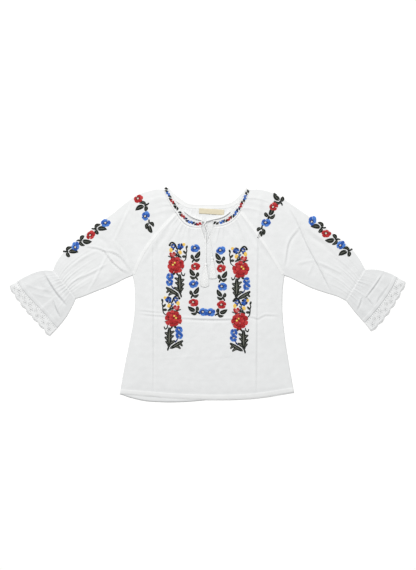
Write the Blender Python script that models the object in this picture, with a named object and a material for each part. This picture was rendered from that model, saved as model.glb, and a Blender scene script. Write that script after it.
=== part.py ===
"""A girl's Romanian ie blouse of white cotton, laid flat with its front up.

The back layer lies on the floor (z = 0) and the front layer lies on it. X runs across the garment
towards the wearer's left, Y from the hem to the neck and Z up. The sizes below are in millimetres.
"""

import math

import bpy
import numpy as np
from mathutils.geometry import delaunay_2d_cdt

MM = 0.001

# Driving sizes
CLOTH = 1.2  # wall of the cotton voile
LACE = 1.0  # wall of the lace edging
SEAM_GAP = 0.4  # between two pieces at a seam
BACK_SEAM_GAP = 0.6  # the same on the back layer, whose lines have fewer points
EDGE_LIFT = 1.6  # underside of the front layer at the garment's edge
LOFT = 1.2  # how much further the front layer rises inside the edge
LOFT_REACH = 15.0  # how far from the edge it has risen
UNDULATION = 0.3  # slow unevenness of the front layer
HEM_RISE = 0.6  # a turned hem is this much thicker
BODY_HEM = 11.0  # width of the hem of the body
FLOUNCE_HEM = 8.0  # width of the hem of the flounce
BAND_RISE = 2.6  # thickness of the neck binding on the front
BACK_BAND_RISE = 1.6  # thickness of the neck binding on the back
BAND_EDGE = 2.0  # width of the binding's rounded edge
SCALLOP_PITCH = 21.0
SCALLOP_DEPTH = 3.4
EYELET_RADIUS = 2.3
EYELET_SIDES = 8
LABEL_WALL = 1.0
CORD_DIAMETER = 2.6
CORD_CLEAR = 0.35
TASSEL_HEAD = 9.0  # length of a tassel's head
TASSEL_HEAD_RADIUS = 3.1
STRANDS_ACROSS = 8
STRAND_LAYERS = 3
STRAND_WIDTH = 1.3
STRAND_DEPTH = 0.9
STRAND_LAYER = 1.3  # from one layer of strands to the next
STRAND_ROOT = 0.78  # from one strand to the next where they leave the head

WHITE = (0.86, 0.87, 0.87)
LACE_WHITE = (0.82, 0.83, 0.83)
CREAM = (0.80, 0.73, 0.55)

# Plan outlines in (x, y), the wearer's right side at -X and the left side at +X
RIGHT = {
    "shoulder": [(-96.5, 232.0), (-111, 233.4), (-127, 229.9), (-152, 221.8), (-179, 203.9), (-208, 180.4),
                 (-248, 150.7), (-281, 126.5), (-311.5, 100), (-328, 80), (-336, 65), (-339.5, 53.7)],
    "underarm": [(-165, 43.6), (-180, 37.4), (-206, 24.4), (-250, 7), (-274, -2.8), (-290, -7.9)],
    "flounce_top": [(-339.5, 53.7), (-360, 54.6), (-375, 51.7), (-390, 46), (-409, 36.5), (-418.4, 30.4)],
    "flounce_bottom": [(-290, -7.9), (-298.5, -26.2), (-309, -45), (-320.5, -60.5), (-330.9, -72.4)],
    "flounce_hem": [(-330.9, -72.4), (-355.5, -43.5), (-379, -19), (-400.5, 4.2), (-418.4, 30.4)],
    "lace_edge": [(-347.8, -89.5), (-367.6, -66.5), (-383.5, -49.5), (-399, -32.6), (-413.5, -14.3),
                  (-425.5, 3), (-435.4, 19.4)],
    "side": [(-165, 43.6), (-160.6, 19.8), (-159.9, -11), (-160.6, -37.4), (-165, -70.4), (-173, -110),
             (-183, -160.6), (-193.2, -217.8)],
    "neck_outer": [(-96.1, 231.4), (-88.4, 211.6), (-79.6, 195.1), (-69.5, 181.1), (-60, 166.8),
                   (-49.5, 156.4), (-37, 150.2), (-24.5, 148.6), (-13.6, 149.2)],
    "neck_inner": [(-86.2, 235.9), (-78, 220.9), (-70, 207.6), (-61.2, 194), (-51.6, 181), (-42.4, 171),
                   (-31.5, 164.6), (-20.8, 162.4), (-11.2, 162.3)],
    "raglan_front": [(-165, 43.6), (-148.5, 82), (-125.5, 118.6), (-97.5, 152), (-69.5, 181.1)],
    "raglan_back": [(-165, 43.6), (-133, 103), (-96, 158), (-61.5, 201.2)],
    "neck_back_low": [(-61.5, 201.2), (-78.5, 214.9), (-96.1, 231.4)],
    "slit": [(-13.6, 149.2), (-9.4, 135.6), (-5.6, 124), (-2.6, 115.5)],
}
LEFT = {
    "shoulder": [(94.2, 232.2), (113.5, 232.8), (135, 227.9), (150, 222.2), (166.5, 212.1), (195.4, 192.5),
                 (225.7, 171.2), (256, 150.2), (286.4, 127.4), (310.6, 107.2), (326, 90.5), (339.5, 69.9),
                 (346.3, 56.3)],
    "underarm": [(168.7, 43.1), (180.2, 39.2), (201.5, 28.8), (225.7, 17.2), (256, 6.4), (286.4, -3.2),
                 (304.5, -12.1)],
    "flounce_top": [(346.3, 56.3), (365.2, 56.6), (386.3, 53.2), (401.3, 47.8), (417.3, 39.6)],
    "flounce_bottom": [(304.5, -12.1), (313.7, -24.2), (325.8, -39.4), (337, -52.2), (345.4, -60.9)],
    "flounce_hem": [(345.4, -60.9), (366, -38.2), (386.3, -12.8), (403.5, 13), (417.3, 39.6)],
    "lace_edge": [(359.9, -78.8), (380.4, -59.3), (397.5, -37.6), (413.4, -13.2), (425.5, 8.2),
                  (435.4, 27.7)],
    "side": [(168.7, 43.1), (165.4, 15.4), (164.1, -17.6), (165.2, -50.6), (169.2, -88.9), (178, -146.1),
             (189.9, -214.1)],
    "neck_outer": [(93.7, 231.4), (87.4, 214.6), (80.4, 199.6), (72.4, 185.5), (63, 171.4), (51.6, 160.8),
                   (38.4, 154.2), (25, 151.4), (13.6, 151.4)],
    "neck_inner": [(83.6, 235.3), (76.6, 220.6), (69.2, 206.6), (60.9, 193.3), (51.8, 181.6), (42.8, 173.4),
                   (32.6, 167.7), (21.6, 164.9), (11.2, 164.3)],
    "raglan_front": [(168.7, 43.1), (146, 80.6), (121, 119.4), (96.6, 154), (72.4, 185.5)],
    "raglan_back": [(168.7, 43.1), (134, 103), (97, 158), (64, 200.6)],
    "neck_back_low": [(64, 200.6), (77.5, 213), (93.7, 231.4)],
    "slit": [(13.6, 151.4), (8.6, 138.6), (3.2, 126), (-1.8, 115.5)],
}
BACK_NECK = [(-86.2, 235.9), (-70.2, 220.9), (-56, 209.9), (-43.6, 202), (-29.5, 199.6), (-1.3, 198.9),
             (26.6, 199.4), (45, 201.8), (59, 208.8), (69.5, 218.4), (83.6, 235.3)]
BACK_NECK_LOW = [(-61.5, 201.2), (-46, 193), (-30, 190.4), (-1.3, 189.7), (27, 190.2), (47, 192.8),
                 (64, 200.6)]
FRONT_HEM = [(-193.2, -217.8), (-124, -223.4), (-68, -227.4), (12.5, -230.1), (100, -227.2), (189.9, -214.1)]
BACK_HEM = [(-193.2, -217.8), (-165, -227), (-138, -232.8), (-104, -235.4), (-60.7, -235.4), (-16.7, -232.4),
            (16.3, -228.8), (100, -222.6), (189.9, -214.1)]
SLIT_FOOT = (-2.2, 115.0)

# The largest folds and pressed creases of the front layer
CREASE_COLUMNS = ("x0", "y0", "x1", "y1", "height", "width")
CREASES = [
    (-124.6, 112, -124.0, -216, -0.7, 3.0),
    (-128.6, 100, -128.4, -212, 0.5, 3.0),
    (109.6, 120, 106.4, -220, -0.7, 3.0),
    (113.4, 104, 110.4, -216, 0.5, 3.0),
    (-160, -38, -124, -41.6, 0.6, 3.2),
    (-104, -46.4, -50, -52.4, -0.8, 3.2),
    (-50, -52.4, 40, -54.2, -0.9, 3.4),
    (40, -54.2, 84, -50, -0.8, 3.2),
    (-96, -42.4, 80, -47.6, 0.5, 3.2),
    (92, -49, 126, -47.8, 0.6, 3.2),
    (126, -47.8, 165, -45.4, 0.6, 3.2),
    (-157, 72, -98, 146, 0.5, 5.0),
    (158, 68, 98, 146, 0.5, 5.0),
    (-79, 166, -147, 68, 0.9, 4.5),
    (-66, 158, -112, 96, 0.5, 5.0),
    (84, 166, 156, 62, 0.9, 4.5),
    (70, 158, 114, 96, 0.5, 5.0),
    (-169, 202, -206, 118, 0.9, 5.0),
    (-206, 118, -170, 54, 0.8, 5.0),
    (-254, 108, -194, 62, -0.7, 5.0),
    (-208, 90, -274, 22, 0.8, 5.0),
    (-302, 40, -212, 84, 0.7, 5.0),
    (-311, 79, -268, 122, 0.6, 5.0),
    (-128, 214, -122, 176, -0.6, 5.0),
    (172, 204, 214, 136, 0.7, 5.0),
    (197, 162, 236, 96, 0.9, 4.5),
    (236, 96, 276, 6, 0.9, 4.5),
    (226, 136, 300, 64, 0.8, 5.0),
    (196, 66, 262, 104, 0.6, 5.0),
    (178, 60, 230, 24, -0.6, 5.0),
    (126, 222, 118, 150, -0.7, 5.0),
    (-359, 52, -316, -16, -1.0, 4.0),
    (-351, 50, -308, -18, 0.9, 4.5),
    (-324, -28, -338, -47, -0.8, 5.0),
    (387, 49, 359, 6, -1.0, 4.0),
    (379, 50, 351, 4, 0.9, 4.5),
    (342, -14, 324, -36, -0.8, 5.0),
]

# Gathers: how many there are, how high they stand, and how far they reach as a share of the piece
FRONT_GATHERS = {"count": 12, "height": 1.9, "reach": 0.26}
BACK_GATHERS = {"count": 5, "height": 0.7, "reach": 0.30}
HEAD_GATHERS = {"count": 4, "height": 1.3, "reach": 0.20}
WRIST_GATHERS = {"count": 12, "height": 1.9, "reach": 0.30}
FLOUNCE_GATHERS = {"count": 12, "height": 1.9, "reach": 0.45}
RUFFLES = {"count": 4, "height": 1.4}
RAGLAN_SHARE = 2 / 3  # of a sleeve's width at its head, the rest lies along the neck

# The label under the back binding, and each tie: its route in (x, y, z) and its tassel in (x, y)
LABEL = {"centre": (8.8, 183.2), "size": (55.0, 12.0), "turn": -3.6, "under": 2.3}
TWIST = {"top": (-6.4, 161.0), "foot": (-4.6, 147.5), "z": 5.5, "radius": 1.75}
TIES = {
    "right": {
        "lead": [(-50.2, 183.2, 4.4), (-44.6, 178.8, 4.6), (-38, 174.2, 4.8), (-30, 169.9, 5.0),
                 (-22, 167.0, 5.2), (-14, 164.4, 5.4)],
        "fall": [(-5.6, 141, 5.3), (-4.6, 132, 5.3), (-4.0, 122, 5.5), (-3.8, 112, 5.9), (-3.8, 98, 6.1),
                 (-3.8, 84, 6.6), (-4.0, 70.4, 6.9)],
        "tassel": [(-4.0, 70.0), (-7.1, 17.0)],
        "pitch": 2.3,
        "side": math.pi,
    },
    "left": {
        "lead": [(49.4, 183.8, 4.4), (42.8, 177.8, 4.9), (35, 173.0, 5.1), (26, 169.6, 5.2), (17, 167.4, 5.3),
                 (8, 165.4, 5.4), (0.6, 163.2, 5.4)],
        "fall": [(-0.6, 141.5, 5.4), (2.2, 133, 5.8), (4.8, 123, 6.2), (6.6, 112, 6.3), (8.2, 98, 6.4),
                 (9.6, 84, 6.9)],
        "tassel": [(9.7, 83.6), (12.0, 35.6)],
        "pitch": 1.65,
        "side": 0.0,
    },
}


def clear_scene():
    for thing in list(bpy.data.objects):
        bpy.data.objects.remove(thing)


def unevenness(index, seed):
    """A repeatable number from -1 to 1 for each index."""
    return math.sin(12.9898 * index + 78.233 * seed) * math.cos(4.1414 * index + seed)


def smooth_line(points, shares):
    """Points at these shares of the length of a smooth curve through the given points."""
    knots = np.array(points, float)
    along = np.concatenate([[0], np.cumsum(np.linalg.norm(np.diff(knots, axis=0), axis=1))])
    slopes = np.gradient(knots, along, axis=0)
    at = np.linspace(0, along[-1], 24 * len(knots))
    low = np.clip(np.searchsorted(along, at, side="right") - 1, 0, len(knots) - 2)
    span = (along[low + 1] - along[low])[:, None]
    t = ((at - along[low]) / span[:, 0])[:, None]
    line = ((2 * t**3 - 3 * t**2 + 1) * knots[low] + (t**3 - 2 * t**2 + t) * span * slopes[low]
            + (3 * t**2 - 2 * t**3) * knots[low + 1] + (t**3 - t**2) * span * slopes[low + 1])
    length = np.concatenate([[0], np.cumsum(np.linalg.norm(np.diff(line, axis=0), axis=1))])
    wanted = np.asarray(shares, float) * length[-1]
    return np.stack([np.interp(wanted, length, line[:, k]) for k in range(knots.shape[1])], axis=1)


def line_length(points):
    return float(np.linalg.norm(np.diff(smooth_line(points, np.linspace(0, 1, 60)), axis=0), axis=1).sum())


def moved_aside(line, distance):
    """The line moved to its left by a distance, as seen when walking along it."""
    run = np.gradient(line, axis=0)
    run /= np.linalg.norm(run, axis=1)[:, None]
    return line + distance * np.stack([-run[:, 1], run[:, 0]], axis=1)


def gather_knots(count, seed):
    """Shares of the width where the gathers' valleys and crests lie, unevenly spaced, valleys at the ends."""
    even = np.linspace(0, 1, 2 * count + 1)
    push = np.array([unevenness(i, seed) for i in range(2 * count + 1)])
    push[0] = push[-1] = 0
    return even + 0.22 / (2 * count) * push


def gather_wave(share, count, seed):
    """The gathers' height from 0 in a valley to about 1 on a crest, for shares across the width."""
    knots = gather_knots(count, seed)
    phase = np.interp(share, knots, math.pi * np.arange(2 * count + 1))
    number = np.clip((phase / (2 * math.pi)).astype(int), 0, count - 1)
    height = np.array([0.8 + 0.3 * unevenness(i, seed + 3) for i in range(count)])
    return 0.5 * (1 - np.cos(phase)) * height[number]


def fade(distance, share, reach, count, seed):
    """How much of the gathers is left at a distance from the seam, each with a reach of its own."""
    at = (np.arange(count) + 0.5) / count
    own = np.array([reach * (1 + 0.45 * unevenness(i, seed + 7)) for i in range(count)])
    span = np.interp(share, at, own)
    return np.exp(-((distance / span) ** 2))


def coons(first, last, start, end, shares):
    """A grid between four boundary lines, with its columns at these shares of the way from start to end.

    first and last run across, start and end run from one to the other."""
    u = shares[None, :, None]
    t = np.linspace(0, 1, len(start))[:, None, None]
    corners = ((1 - u) * (1 - t) * first[0] + u * (1 - t) * first[-1]
               + (1 - u) * t * last[0] + u * t * last[-1])
    return ((1 - t) * first[None] + t * last[None] + (1 - u) * start[:, None] + u * end[:, None] - corners)


def silhouette():
    """The garment's outer outline in plan, without the neck, as a list of line segments."""
    shares = np.linspace(0, 1, 40)
    lines = [smooth_line(FRONT_HEM, shares)]
    for side in (RIGHT, LEFT):
        lines += [smooth_line(side[k], shares) for k in ("shoulder", "underarm", "side", "lace_edge")]
        lines += [smooth_line(side["flounce_top"] + side["lace_edge"][-1:], shares)]
        lines += [smooth_line(side["flounce_bottom"] + side["lace_edge"][:1], shares)]
    return np.concatenate([line[:-1] for line in lines]), np.concatenate([line[1:] for line in lines])


SEGMENTS = silhouette()


def segment_distance(xy, start, end):
    """Distances of points (n, 2) to line segments (m, 2) as (n, m), and the share along each."""
    run = end - start
    rel = xy[:, None, :] - start[None]
    share = np.clip((rel * run).sum(-1) / np.maximum((run * run).sum(-1), 1e-9), 0, 1)
    return np.linalg.norm(rel - share[..., None] * run[None], axis=-1), share


def crease_height(xy):
    table = np.array(CREASES, float)
    away, share = segment_distance(xy, table[:, 0:2], table[:, 2:4])
    taper = 0.35 + 0.65 * np.sin(math.pi * np.clip(share, 0.02, 0.98)) ** 0.6
    return (table[:, 4] * np.exp(-((away / table[:, 5]) ** 2)) * taper).sum(axis=1)


def front_under(xy, gathers=0.0):
    """Height of the front layer's underside over the floor at plan points."""
    flat = np.asarray(xy, float).reshape(-1, 2)
    away = segment_distance(flat, *SEGMENTS)[0].min(axis=1)
    inside = 1 - np.exp(-((away / LOFT_REACH) ** 2))
    slow = np.sin(flat[:, 0] / 33 + 1.3) * np.sin(flat[:, 1] / 27 + 0.6)
    height = EDGE_LIFT + inside * (LOFT + UNDULATION * slow + crease_height(flat) + np.ravel(gathers))
    return np.maximum(height, EDGE_LIFT).reshape(np.shape(xy)[:-1])


def material(name, colour, roughness):
    made = bpy.data.materials.get(name) or bpy.data.materials.new(name)
    made.use_nodes = True
    shader = made.node_tree.nodes["Principled BSDF"]
    shader.inputs["Base Color"].default_value = (*colour, 1)
    shader.inputs["Roughness"].default_value = roughness
    shader.inputs["Metallic"].default_value = 0
    return made


def add_mesh(name, points, faces, finish):
    """One object from points in millimetres."""
    mesh = bpy.data.meshes.new(name)
    mesh.from_pydata((np.asarray(points, float) * MM).tolist(), [], [tuple(map(int, f)) for f in faces])
    mesh.materials.append(finish)
    made = bpy.data.objects.new(name, mesh)
    bpy.context.scene.collection.objects.link(made)
    return made


def add_wall(name, xy, under, top, faces, finish):
    """A wall of cloth over a plan mesh whose faces run anticlockwise: top, underside and rim."""
    count = len(xy)
    points = np.concatenate([np.column_stack([xy, top]), np.column_stack([xy, under])])
    edges = {}
    for face in faces:
        for a, b in zip(face, face[1:] + face[:1]):
            edges[a, b] = True
    rim = [(b, a, a + count, b + count) for a, b in edges if (b, a) not in edges]
    low = [tuple(v + count for v in reversed(face)) for face in faces]
    return add_mesh(name, points, faces + low + rim, finish)


def add_tube(name, outer, inner, finish):
    """A tube of cloth from rings (rows, around, 3), outer and inner, joined at both ends."""
    rows, around = outer.shape[:2]
    count = rows * around
    faces = []
    for i in range(rows - 1):
        for j in range(around):
            a, b = i * around + j, i * around + (j + 1) % around
            faces.append((a, a + around, b + around, b))
            faces.append((b + count, b + around + count, a + around + count, a + count))
    for row, flip in ((0, False), (rows - 1, True)):
        for j in range(around):
            a, b = row * around + j, row * around + (j + 1) % around
            face = (a, b, b + count, a + count)
            faces.append(face[::-1] if flip else face)
    return add_mesh(name, np.concatenate([outer.reshape(-1, 3), inner.reshape(-1, 3)]), faces, finish)


def facing_out(thing):
    """Turns every face the right way round if the solid is inside out."""
    mesh = thing.data
    points = np.array([v.co for v in mesh.vertices], float)
    volume = 0.0
    for polygon in mesh.polygons:
        ids = list(polygon.vertices)
        for a, b in zip(ids[1:-1], ids[2:]):
            volume += np.dot(points[ids[0]], np.cross(points[a], points[b]))
    if volume < 0:
        mesh.flip_normals()


def sheet_faces(columns):
    """Faces of a sheet from its rows of vertex numbers, where a row may have half the columns of the last."""
    faces = []
    for upper, lower in zip(columns[:-1], columns[1:]):
        if len(upper) == len(lower):
            for a, b, c, d in zip(upper[:-1], upper[1:], lower[1:], lower[:-1]):
                faces.append((a, d, c, b))
            continue
        for j in range(len(lower) - 1):
            a, b, c = upper[2 * j:2 * j + 3]
            faces += [(a, lower[j], b), (lower[j], lower[j + 1], b), (b, lower[j + 1], c)]
    return [f for f in faces if len(set(f)) == len(f)]


def half_front(side, knots, rows, slit_row, armpit_row):
    """Plan grid of one half of the front, from its raglan and side seam to the slit and the centre line."""
    mirrored = side is LEFT
    neck = side["neck_outer"]
    neck_line = smooth_line(neck, neck_split(side) + (1 - neck_split(side)) * knots)
    neck_line = moved_aside(neck_line, SEAM_GAP if mirrored else -SEAM_GAP)
    raglan = smooth_line(side["raglan_front"], np.linspace(1, 0, armpit_row + 1))
    raglan[0] = neck_line[0]
    seam = smooth_line(side["side"], np.linspace(0, 1, rows - armpit_row + 1))
    outer = np.concatenate([raglan, seam[1:]])
    slit_points = [tuple(neck_line[-1])] + side["slit"][1:-1] + [SLIT_FOOT]
    slit = smooth_line(slit_points, np.linspace(0, 1, slit_row + 1))
    hem_middle = smooth_line(FRONT_HEM, [0.5])[0]
    fall = np.linspace(0, 1, rows - slit_row + 1)[1:, None] ** 1.25
    centre = np.concatenate([slit, np.array(SLIT_FOOT) + fall * (hem_middle - np.array(SLIT_FOOT))])
    hem = smooth_line(FRONT_HEM, 1 - knots / 2 if mirrored else knots / 2)
    return coons(neck_line, hem, outer, centre, knots)


def neck_split(side):
    """Where the raglan seam meets the front binding, as a share of the binding's outer line."""
    line = smooth_line(side["neck_outer"], np.linspace(0, 1, 400))
    return float(np.linalg.norm(line - np.array(side["raglan_front"][-1]), axis=1).argmin() / 399)


def front_gathers(share, distance, seed):
    wave = gather_wave(share, FRONT_GATHERS["count"], seed)
    window = np.clip(share / 0.06, 0, 1)
    left = fade(distance, share, FRONT_GATHERS["reach"], FRONT_GATHERS["count"], seed)
    return FRONT_GATHERS["height"] * wave * window * left


def hem_rise(distance, width):
    """Extra height of a turned hem, at distances from the cloth's edge."""
    return HEM_RISE * np.clip((width + 1.0 - distance) / 1.0, 0, 1)


def add_front(finish):
    rows, slit_row, armpit_row, fine_rows = 22, 5, 10, 9
    count = 2 * FRONT_GATHERS["count"]
    points, heights, number = [], [], {}
    for key, side, seed in (("right", RIGHT, 1), ("left", LEFT, 2)):
        knots = gather_knots(FRONT_GATHERS["count"], seed)
        grid = half_front(side, knots, rows, slit_row, armpit_row)
        down = np.linspace(0, 1, rows + 1)
        share, distance = np.meshgrid(knots, down)
        gathers = front_gathers(share, distance, seed)
        for i in range(rows + 1):
            for j in range(count + 1):
                shared = key == "left" and j == count and i >= slit_row
                if i > fine_rows and j % 2:
                    continue
                if shared:
                    number[key, i, j] = number["right", i, j]
                    continue
                number[key, i, j] = len(points)
                points.append(grid[i, j])
                heights.append(gathers[i, j])
    xy = np.array(points)
    under = front_under(xy, np.array(heights))
    faces = []
    for key in ("right", "left"):
        lines = [[number[key, i, j] for j in range(count + 1) if (key, i, j) in number]
                 for i in range(rows + 1)]
        made = sheet_faces(lines)
        faces += made if key == "right" else [f[::-1] for f in made]
    hem = smooth_line(FRONT_HEM, np.linspace(0, 1, 60))
    from_hem = segment_distance(xy, hem[:-1], hem[1:])[0].min(axis=1)
    top = under + CLOTH + hem_rise(from_hem, BODY_HEM)
    made = add_wall("body_front", xy, under, top, faces, finish)
    facing_out(made)


def back_outline(side, rows, armpit_row):
    raglan = smooth_line(side["raglan_back"], np.linspace(1, 0, armpit_row + 1))
    seam = smooth_line(side["side"], np.linspace(0, 1, rows - armpit_row + 1))
    return np.concatenate([raglan, seam[1:]])


def add_back(finish):
    rows, armpit_row, fine_rows = 14, 7, 4
    knots = gather_knots(2 * BACK_GATHERS["count"], 5)
    neck = moved_aside(smooth_line(BACK_NECK_LOW, knots), -BACK_SEAM_GAP)
    right, left = back_outline(RIGHT, rows, armpit_row), back_outline(LEFT, rows, armpit_row)
    right[0], left[0] = neck[0], neck[-1]
    grid = coons(neck, smooth_line(BACK_HEM, knots), right, left, knots)
    down = np.linspace(0, 1, rows + 1)
    share, distance = np.meshgrid(knots, down)
    wave = gather_wave(share, 2 * BACK_GATHERS["count"], 5)
    window = np.clip(np.minimum(share, 1 - share) / 0.06, 0, 1)
    gathers = BACK_GATHERS["height"] * wave * window * np.exp(-((distance / BACK_GATHERS["reach"]) ** 4))
    points, rise, lines = [], [], []
    for i in range(rows + 1):
        columns = range(0, len(knots), 1 if i <= fine_rows else 2)
        lines.append(list(range(len(points), len(points) + len(columns))))
        points += [grid[i, j] for j in columns]
        rise += [gathers[i, j] for j in columns]
    xy = np.array(points)
    made = add_wall("body_back", xy, np.zeros(len(xy)), CLOTH + np.array(rise), sheet_faces(lines), finish)
    facing_out(made)


def head_line(side, layer, shares):
    """The head of a sleeve in plan: along the raglan seam, then along the neck to the shoulder."""
    gap = SEAM_GAP if layer == "front" else BACK_SEAM_GAP
    gap = gap if side is RIGHT else -gap
    split = RAGLAN_SHARE
    raglan_shares = shares[shares <= split + 1e-9] / split
    neck_shares = (shares[shares > split + 1e-9] - split) / (1 - split)
    if layer == "front":
        raglan = smooth_line(side["raglan_front"], raglan_shares)
        neck = smooth_line(side["neck_outer"], neck_split(side) * (1 - neck_shares))
    else:
        raglan = smooth_line(side["raglan_back"], raglan_shares)
        neck = smooth_line(side["neck_back_low"], neck_shares)
    raglan = moved_aside(raglan, gap)
    whole = np.concatenate([raglan[-1:], neck])
    neck = moved_aside(whole, gap)[1:]
    raglan[-1] = raglan[-1] + (neck[0] - whole[1])
    return np.concatenate([raglan, neck])


def sleeve_plan(side, layer, shares, rows):
    wrist = np.array(side["underarm"][-1]), np.array(side["shoulder"][-1])
    last = wrist[0] + shares[:, None] * (wrist[1] - wrist[0])
    first = head_line(side, layer, shares)
    start = smooth_line(side["underarm"], np.linspace(0, 1, rows + 1))
    end = smooth_line(side["shoulder"], np.linspace(0, 1, rows + 1))
    start[0], end[0] = first[0], first[-1]
    return coons(first, last, start, end, shares)


def flounce_plan(side, layer, shares, rows):
    foot, top = np.array(side["flounce_bottom"][0]), np.array(side["flounce_top"][0])
    first = foot + shares[:, None] * (top - foot)
    sign = 1 if side is RIGHT else -1
    first = moved_aside(first, sign * SEAM_GAP)
    last = smooth_line(side["flounce_hem"], shares)
    start = smooth_line(side["flounce_bottom"], np.linspace(0, 1, rows + 1))
    end = smooth_line(side["flounce_top"], np.linspace(0, 1, rows + 1))
    start[0], end[0] = first[0], first[-1]
    return coons(first, last, start, end, shares)


def sleeve_gathers(share, along, seed):
    along_neck = np.clip((share - RAGLAN_SHARE) / (1 - RAGLAN_SHARE), 0, 1)
    head = gather_wave(along_neck, HEAD_GATHERS["count"], seed)
    head = head * HEAD_GATHERS["height"] * np.exp(-((along / HEAD_GATHERS["reach"]) ** 2))
    wrist = gather_wave(share, WRIST_GATHERS["count"], seed) * WRIST_GATHERS["height"]
    wrist = wrist * fade(1 - along, share, WRIST_GATHERS["reach"], WRIST_GATHERS["count"], seed)
    return head + wrist


def flounce_gathers(share, along, seed):
    wrist = gather_wave(share, FLOUNCE_GATHERS["count"], seed) * FLOUNCE_GATHERS["height"]
    wrist = wrist * fade(along, share, FLOUNCE_GATHERS["reach"], FLOUNCE_GATHERS["count"], seed)
    return wrist + ruffle(share, seed) * along


def ruffle(share, seed):
    """The flounce's broad waves at its hem."""
    return RUFFLES["height"] * gather_wave(share, RUFFLES["count"], seed + 20)


def tube_rings(plan, gathers, side, seed, rows, hem=None):
    """Outer and inner rings of a flattened tube: across the front layer, then back across the back layer."""
    edge, near, inner_edge, inner_near = 0.0, 0.012, 0.016, 0.035
    knots = gather_knots(WRIST_GATHERS["count"], seed)
    low = np.linspace(0, 1, 9)
    front = np.concatenate([[edge, near], knots[1:-1], [1 - near, 1 - edge]])
    back = np.concatenate([[1 - near], low[-2:0:-1], [near]])
    front_in = np.concatenate([[inner_edge, inner_near], knots[1:-1], [1 - inner_near, 1 - inner_edge]])
    back_in = np.concatenate([[1 - inner_near], low[-2:0:-1], [inner_near]])
    rings = []
    for front_shares, back_shares, is_outer in ((front, back, True), (front_in, back_in, False)):
        upper = plan(side, "front", front_shares, rows)
        lower = plan(side, "back", np.sort(back_shares), rows)[:, ::-1]
        share, along = np.meshgrid(front_shares, np.linspace(0, 1, rows + 1))
        under = front_under(upper, gathers(share, along, seed))
        height = under
        if is_outer:
            height = under + CLOTH
            if hem is not None:
                away = segment_distance(upper.reshape(-1, 2), hem[:-1], hem[1:])[0].min(axis=1)
                height = height + hem_rise(away, FLOUNCE_HEM).reshape(height.shape)
        height[:, [0, -1]] = (CLOTH + EDGE_LIFT) / 2
        floor = np.zeros(lower.shape[:2]) if is_outer else np.full(lower.shape[:2], CLOTH)
        ring = np.concatenate([np.dstack([upper, height]), np.dstack([lower, floor])], axis=1)
        rings.append(ring)
    return rings


def add_sleeve(name, side, seed, finish):
    outer, inner = tube_rings(sleeve_plan, sleeve_gathers, side, seed, 17)
    facing_out(add_tube(name, outer, inner, finish))


def add_flounce(name, side, seed, finish):
    hem = smooth_line(side["flounce_hem"], np.linspace(0, 1, 40))
    outer, inner = tube_rings(flounce_plan, flounce_gathers, side, seed, 8, hem)
    facing_out(add_tube(name, outer, inner, finish))


def scalloped(side, shares):
    """The lace's outer edge in plan at these shares of its length."""
    line = smooth_line(side["lace_edge"], shares)
    count = round(line_length(side["lace_edge"]) / SCALLOP_PITCH)
    bulge = SCALLOP_DEPTH * (np.abs(np.sin(math.pi * count * np.asarray(shares))) - 0.55)
    bulge = bulge * np.clip(np.minimum(shares, 1 - np.asarray(shares)) / 0.02, 0, 1)
    sign = 1 if side is RIGHT else -1
    return moved_aside(line, sign * bulge[:, None]), count


def lace_outline(side):
    """The lace's outline in plan, anticlockwise or clockwise, with the share across for each point."""
    count = round(line_length(side["lace_edge"]) / SCALLOP_PITCH)
    outer_shares = np.linspace(0, 1, 6 * count + 1)
    outer, _ = scalloped(side, outer_shares)
    inner_shares = np.linspace(1, 0, 15)
    sign = 1 if side is RIGHT else -1
    inner = moved_aside(smooth_line(side["flounce_hem"], inner_shares), -sign * SEAM_GAP)
    return np.concatenate([outer, inner]), np.concatenate([outer_shares, inner_shares]), count


def eyelets(side, count):
    """The lace's eyelets as (share across, centre): one row in the scallops and one further in."""
    found = []
    rows = [((np.arange(count) + 0.5) / count, 0.66), (np.arange(1, count) / count, 0.42)]
    for shares, depth in rows:
        hem = smooth_line(side["flounce_hem"], shares)
        edge = smooth_line(side["lace_edge"], shares)
        found += [(share, point) for share, point in zip(shares, hem + depth * (edge - hem))]
    return found


def lace_mesh(side):
    """Plan points, shares across and faces of the lace with its eyelets cut through."""
    outline, shares, count = lace_outline(side)
    loops, points, across = [list(range(len(outline)))], list(outline), list(shares)
    turn = 2 * math.pi / EYELET_SIDES
    for share, centre in eyelets(side, count):
        loops.append(list(range(len(points), len(points) + EYELET_SIDES)))
        for k in range(EYELET_SIDES):
            points.append(centre + EYELET_RADIUS * np.array([math.cos(k * turn), math.sin(k * turn)]))
            across.append(share)
    edges = [(a, b) for loop in loops for a, b in zip(loop, loop[1:] + loop[:1])]
    found = delaunay_2d_cdt([tuple(p) for p in points], edges, [], 1, 1e-6)
    xy = np.array([tuple(p) for p in found[0]])
    origin = [source[0] for source in found[3]]
    centres = [c for _, c in eyelets(side, count)]
    faces = []
    for face in found[2]:
        middle = xy[list(face)].mean(axis=0)
        if min(np.linalg.norm(middle - c) for c in centres) < EYELET_RADIUS * 0.9:
            continue
        if inside_outline(middle, outline):
            faces.append(anticlockwise(list(face), xy))
    return xy, np.array([across[i] for i in origin]), faces


def anticlockwise(face, xy):
    a, b, c = xy[face[0]], xy[face[1]], xy[face[2]]
    turned = (b[0] - a[0]) * (c[1] - a[1]) - (b[1] - a[1]) * (c[0] - a[0])
    return tuple(face) if turned > 0 else tuple(reversed(face))


def inside_outline(point, outline):
    x, y = point
    inside = False
    for (x0, y0), (x1, y1) in zip(outline, np.roll(outline, -1, axis=0)):
        if (y0 > y) != (y1 > y) and x < x0 + (y - y0) * (x1 - x0) / (y1 - y0):
            inside = not inside
    return inside


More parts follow.
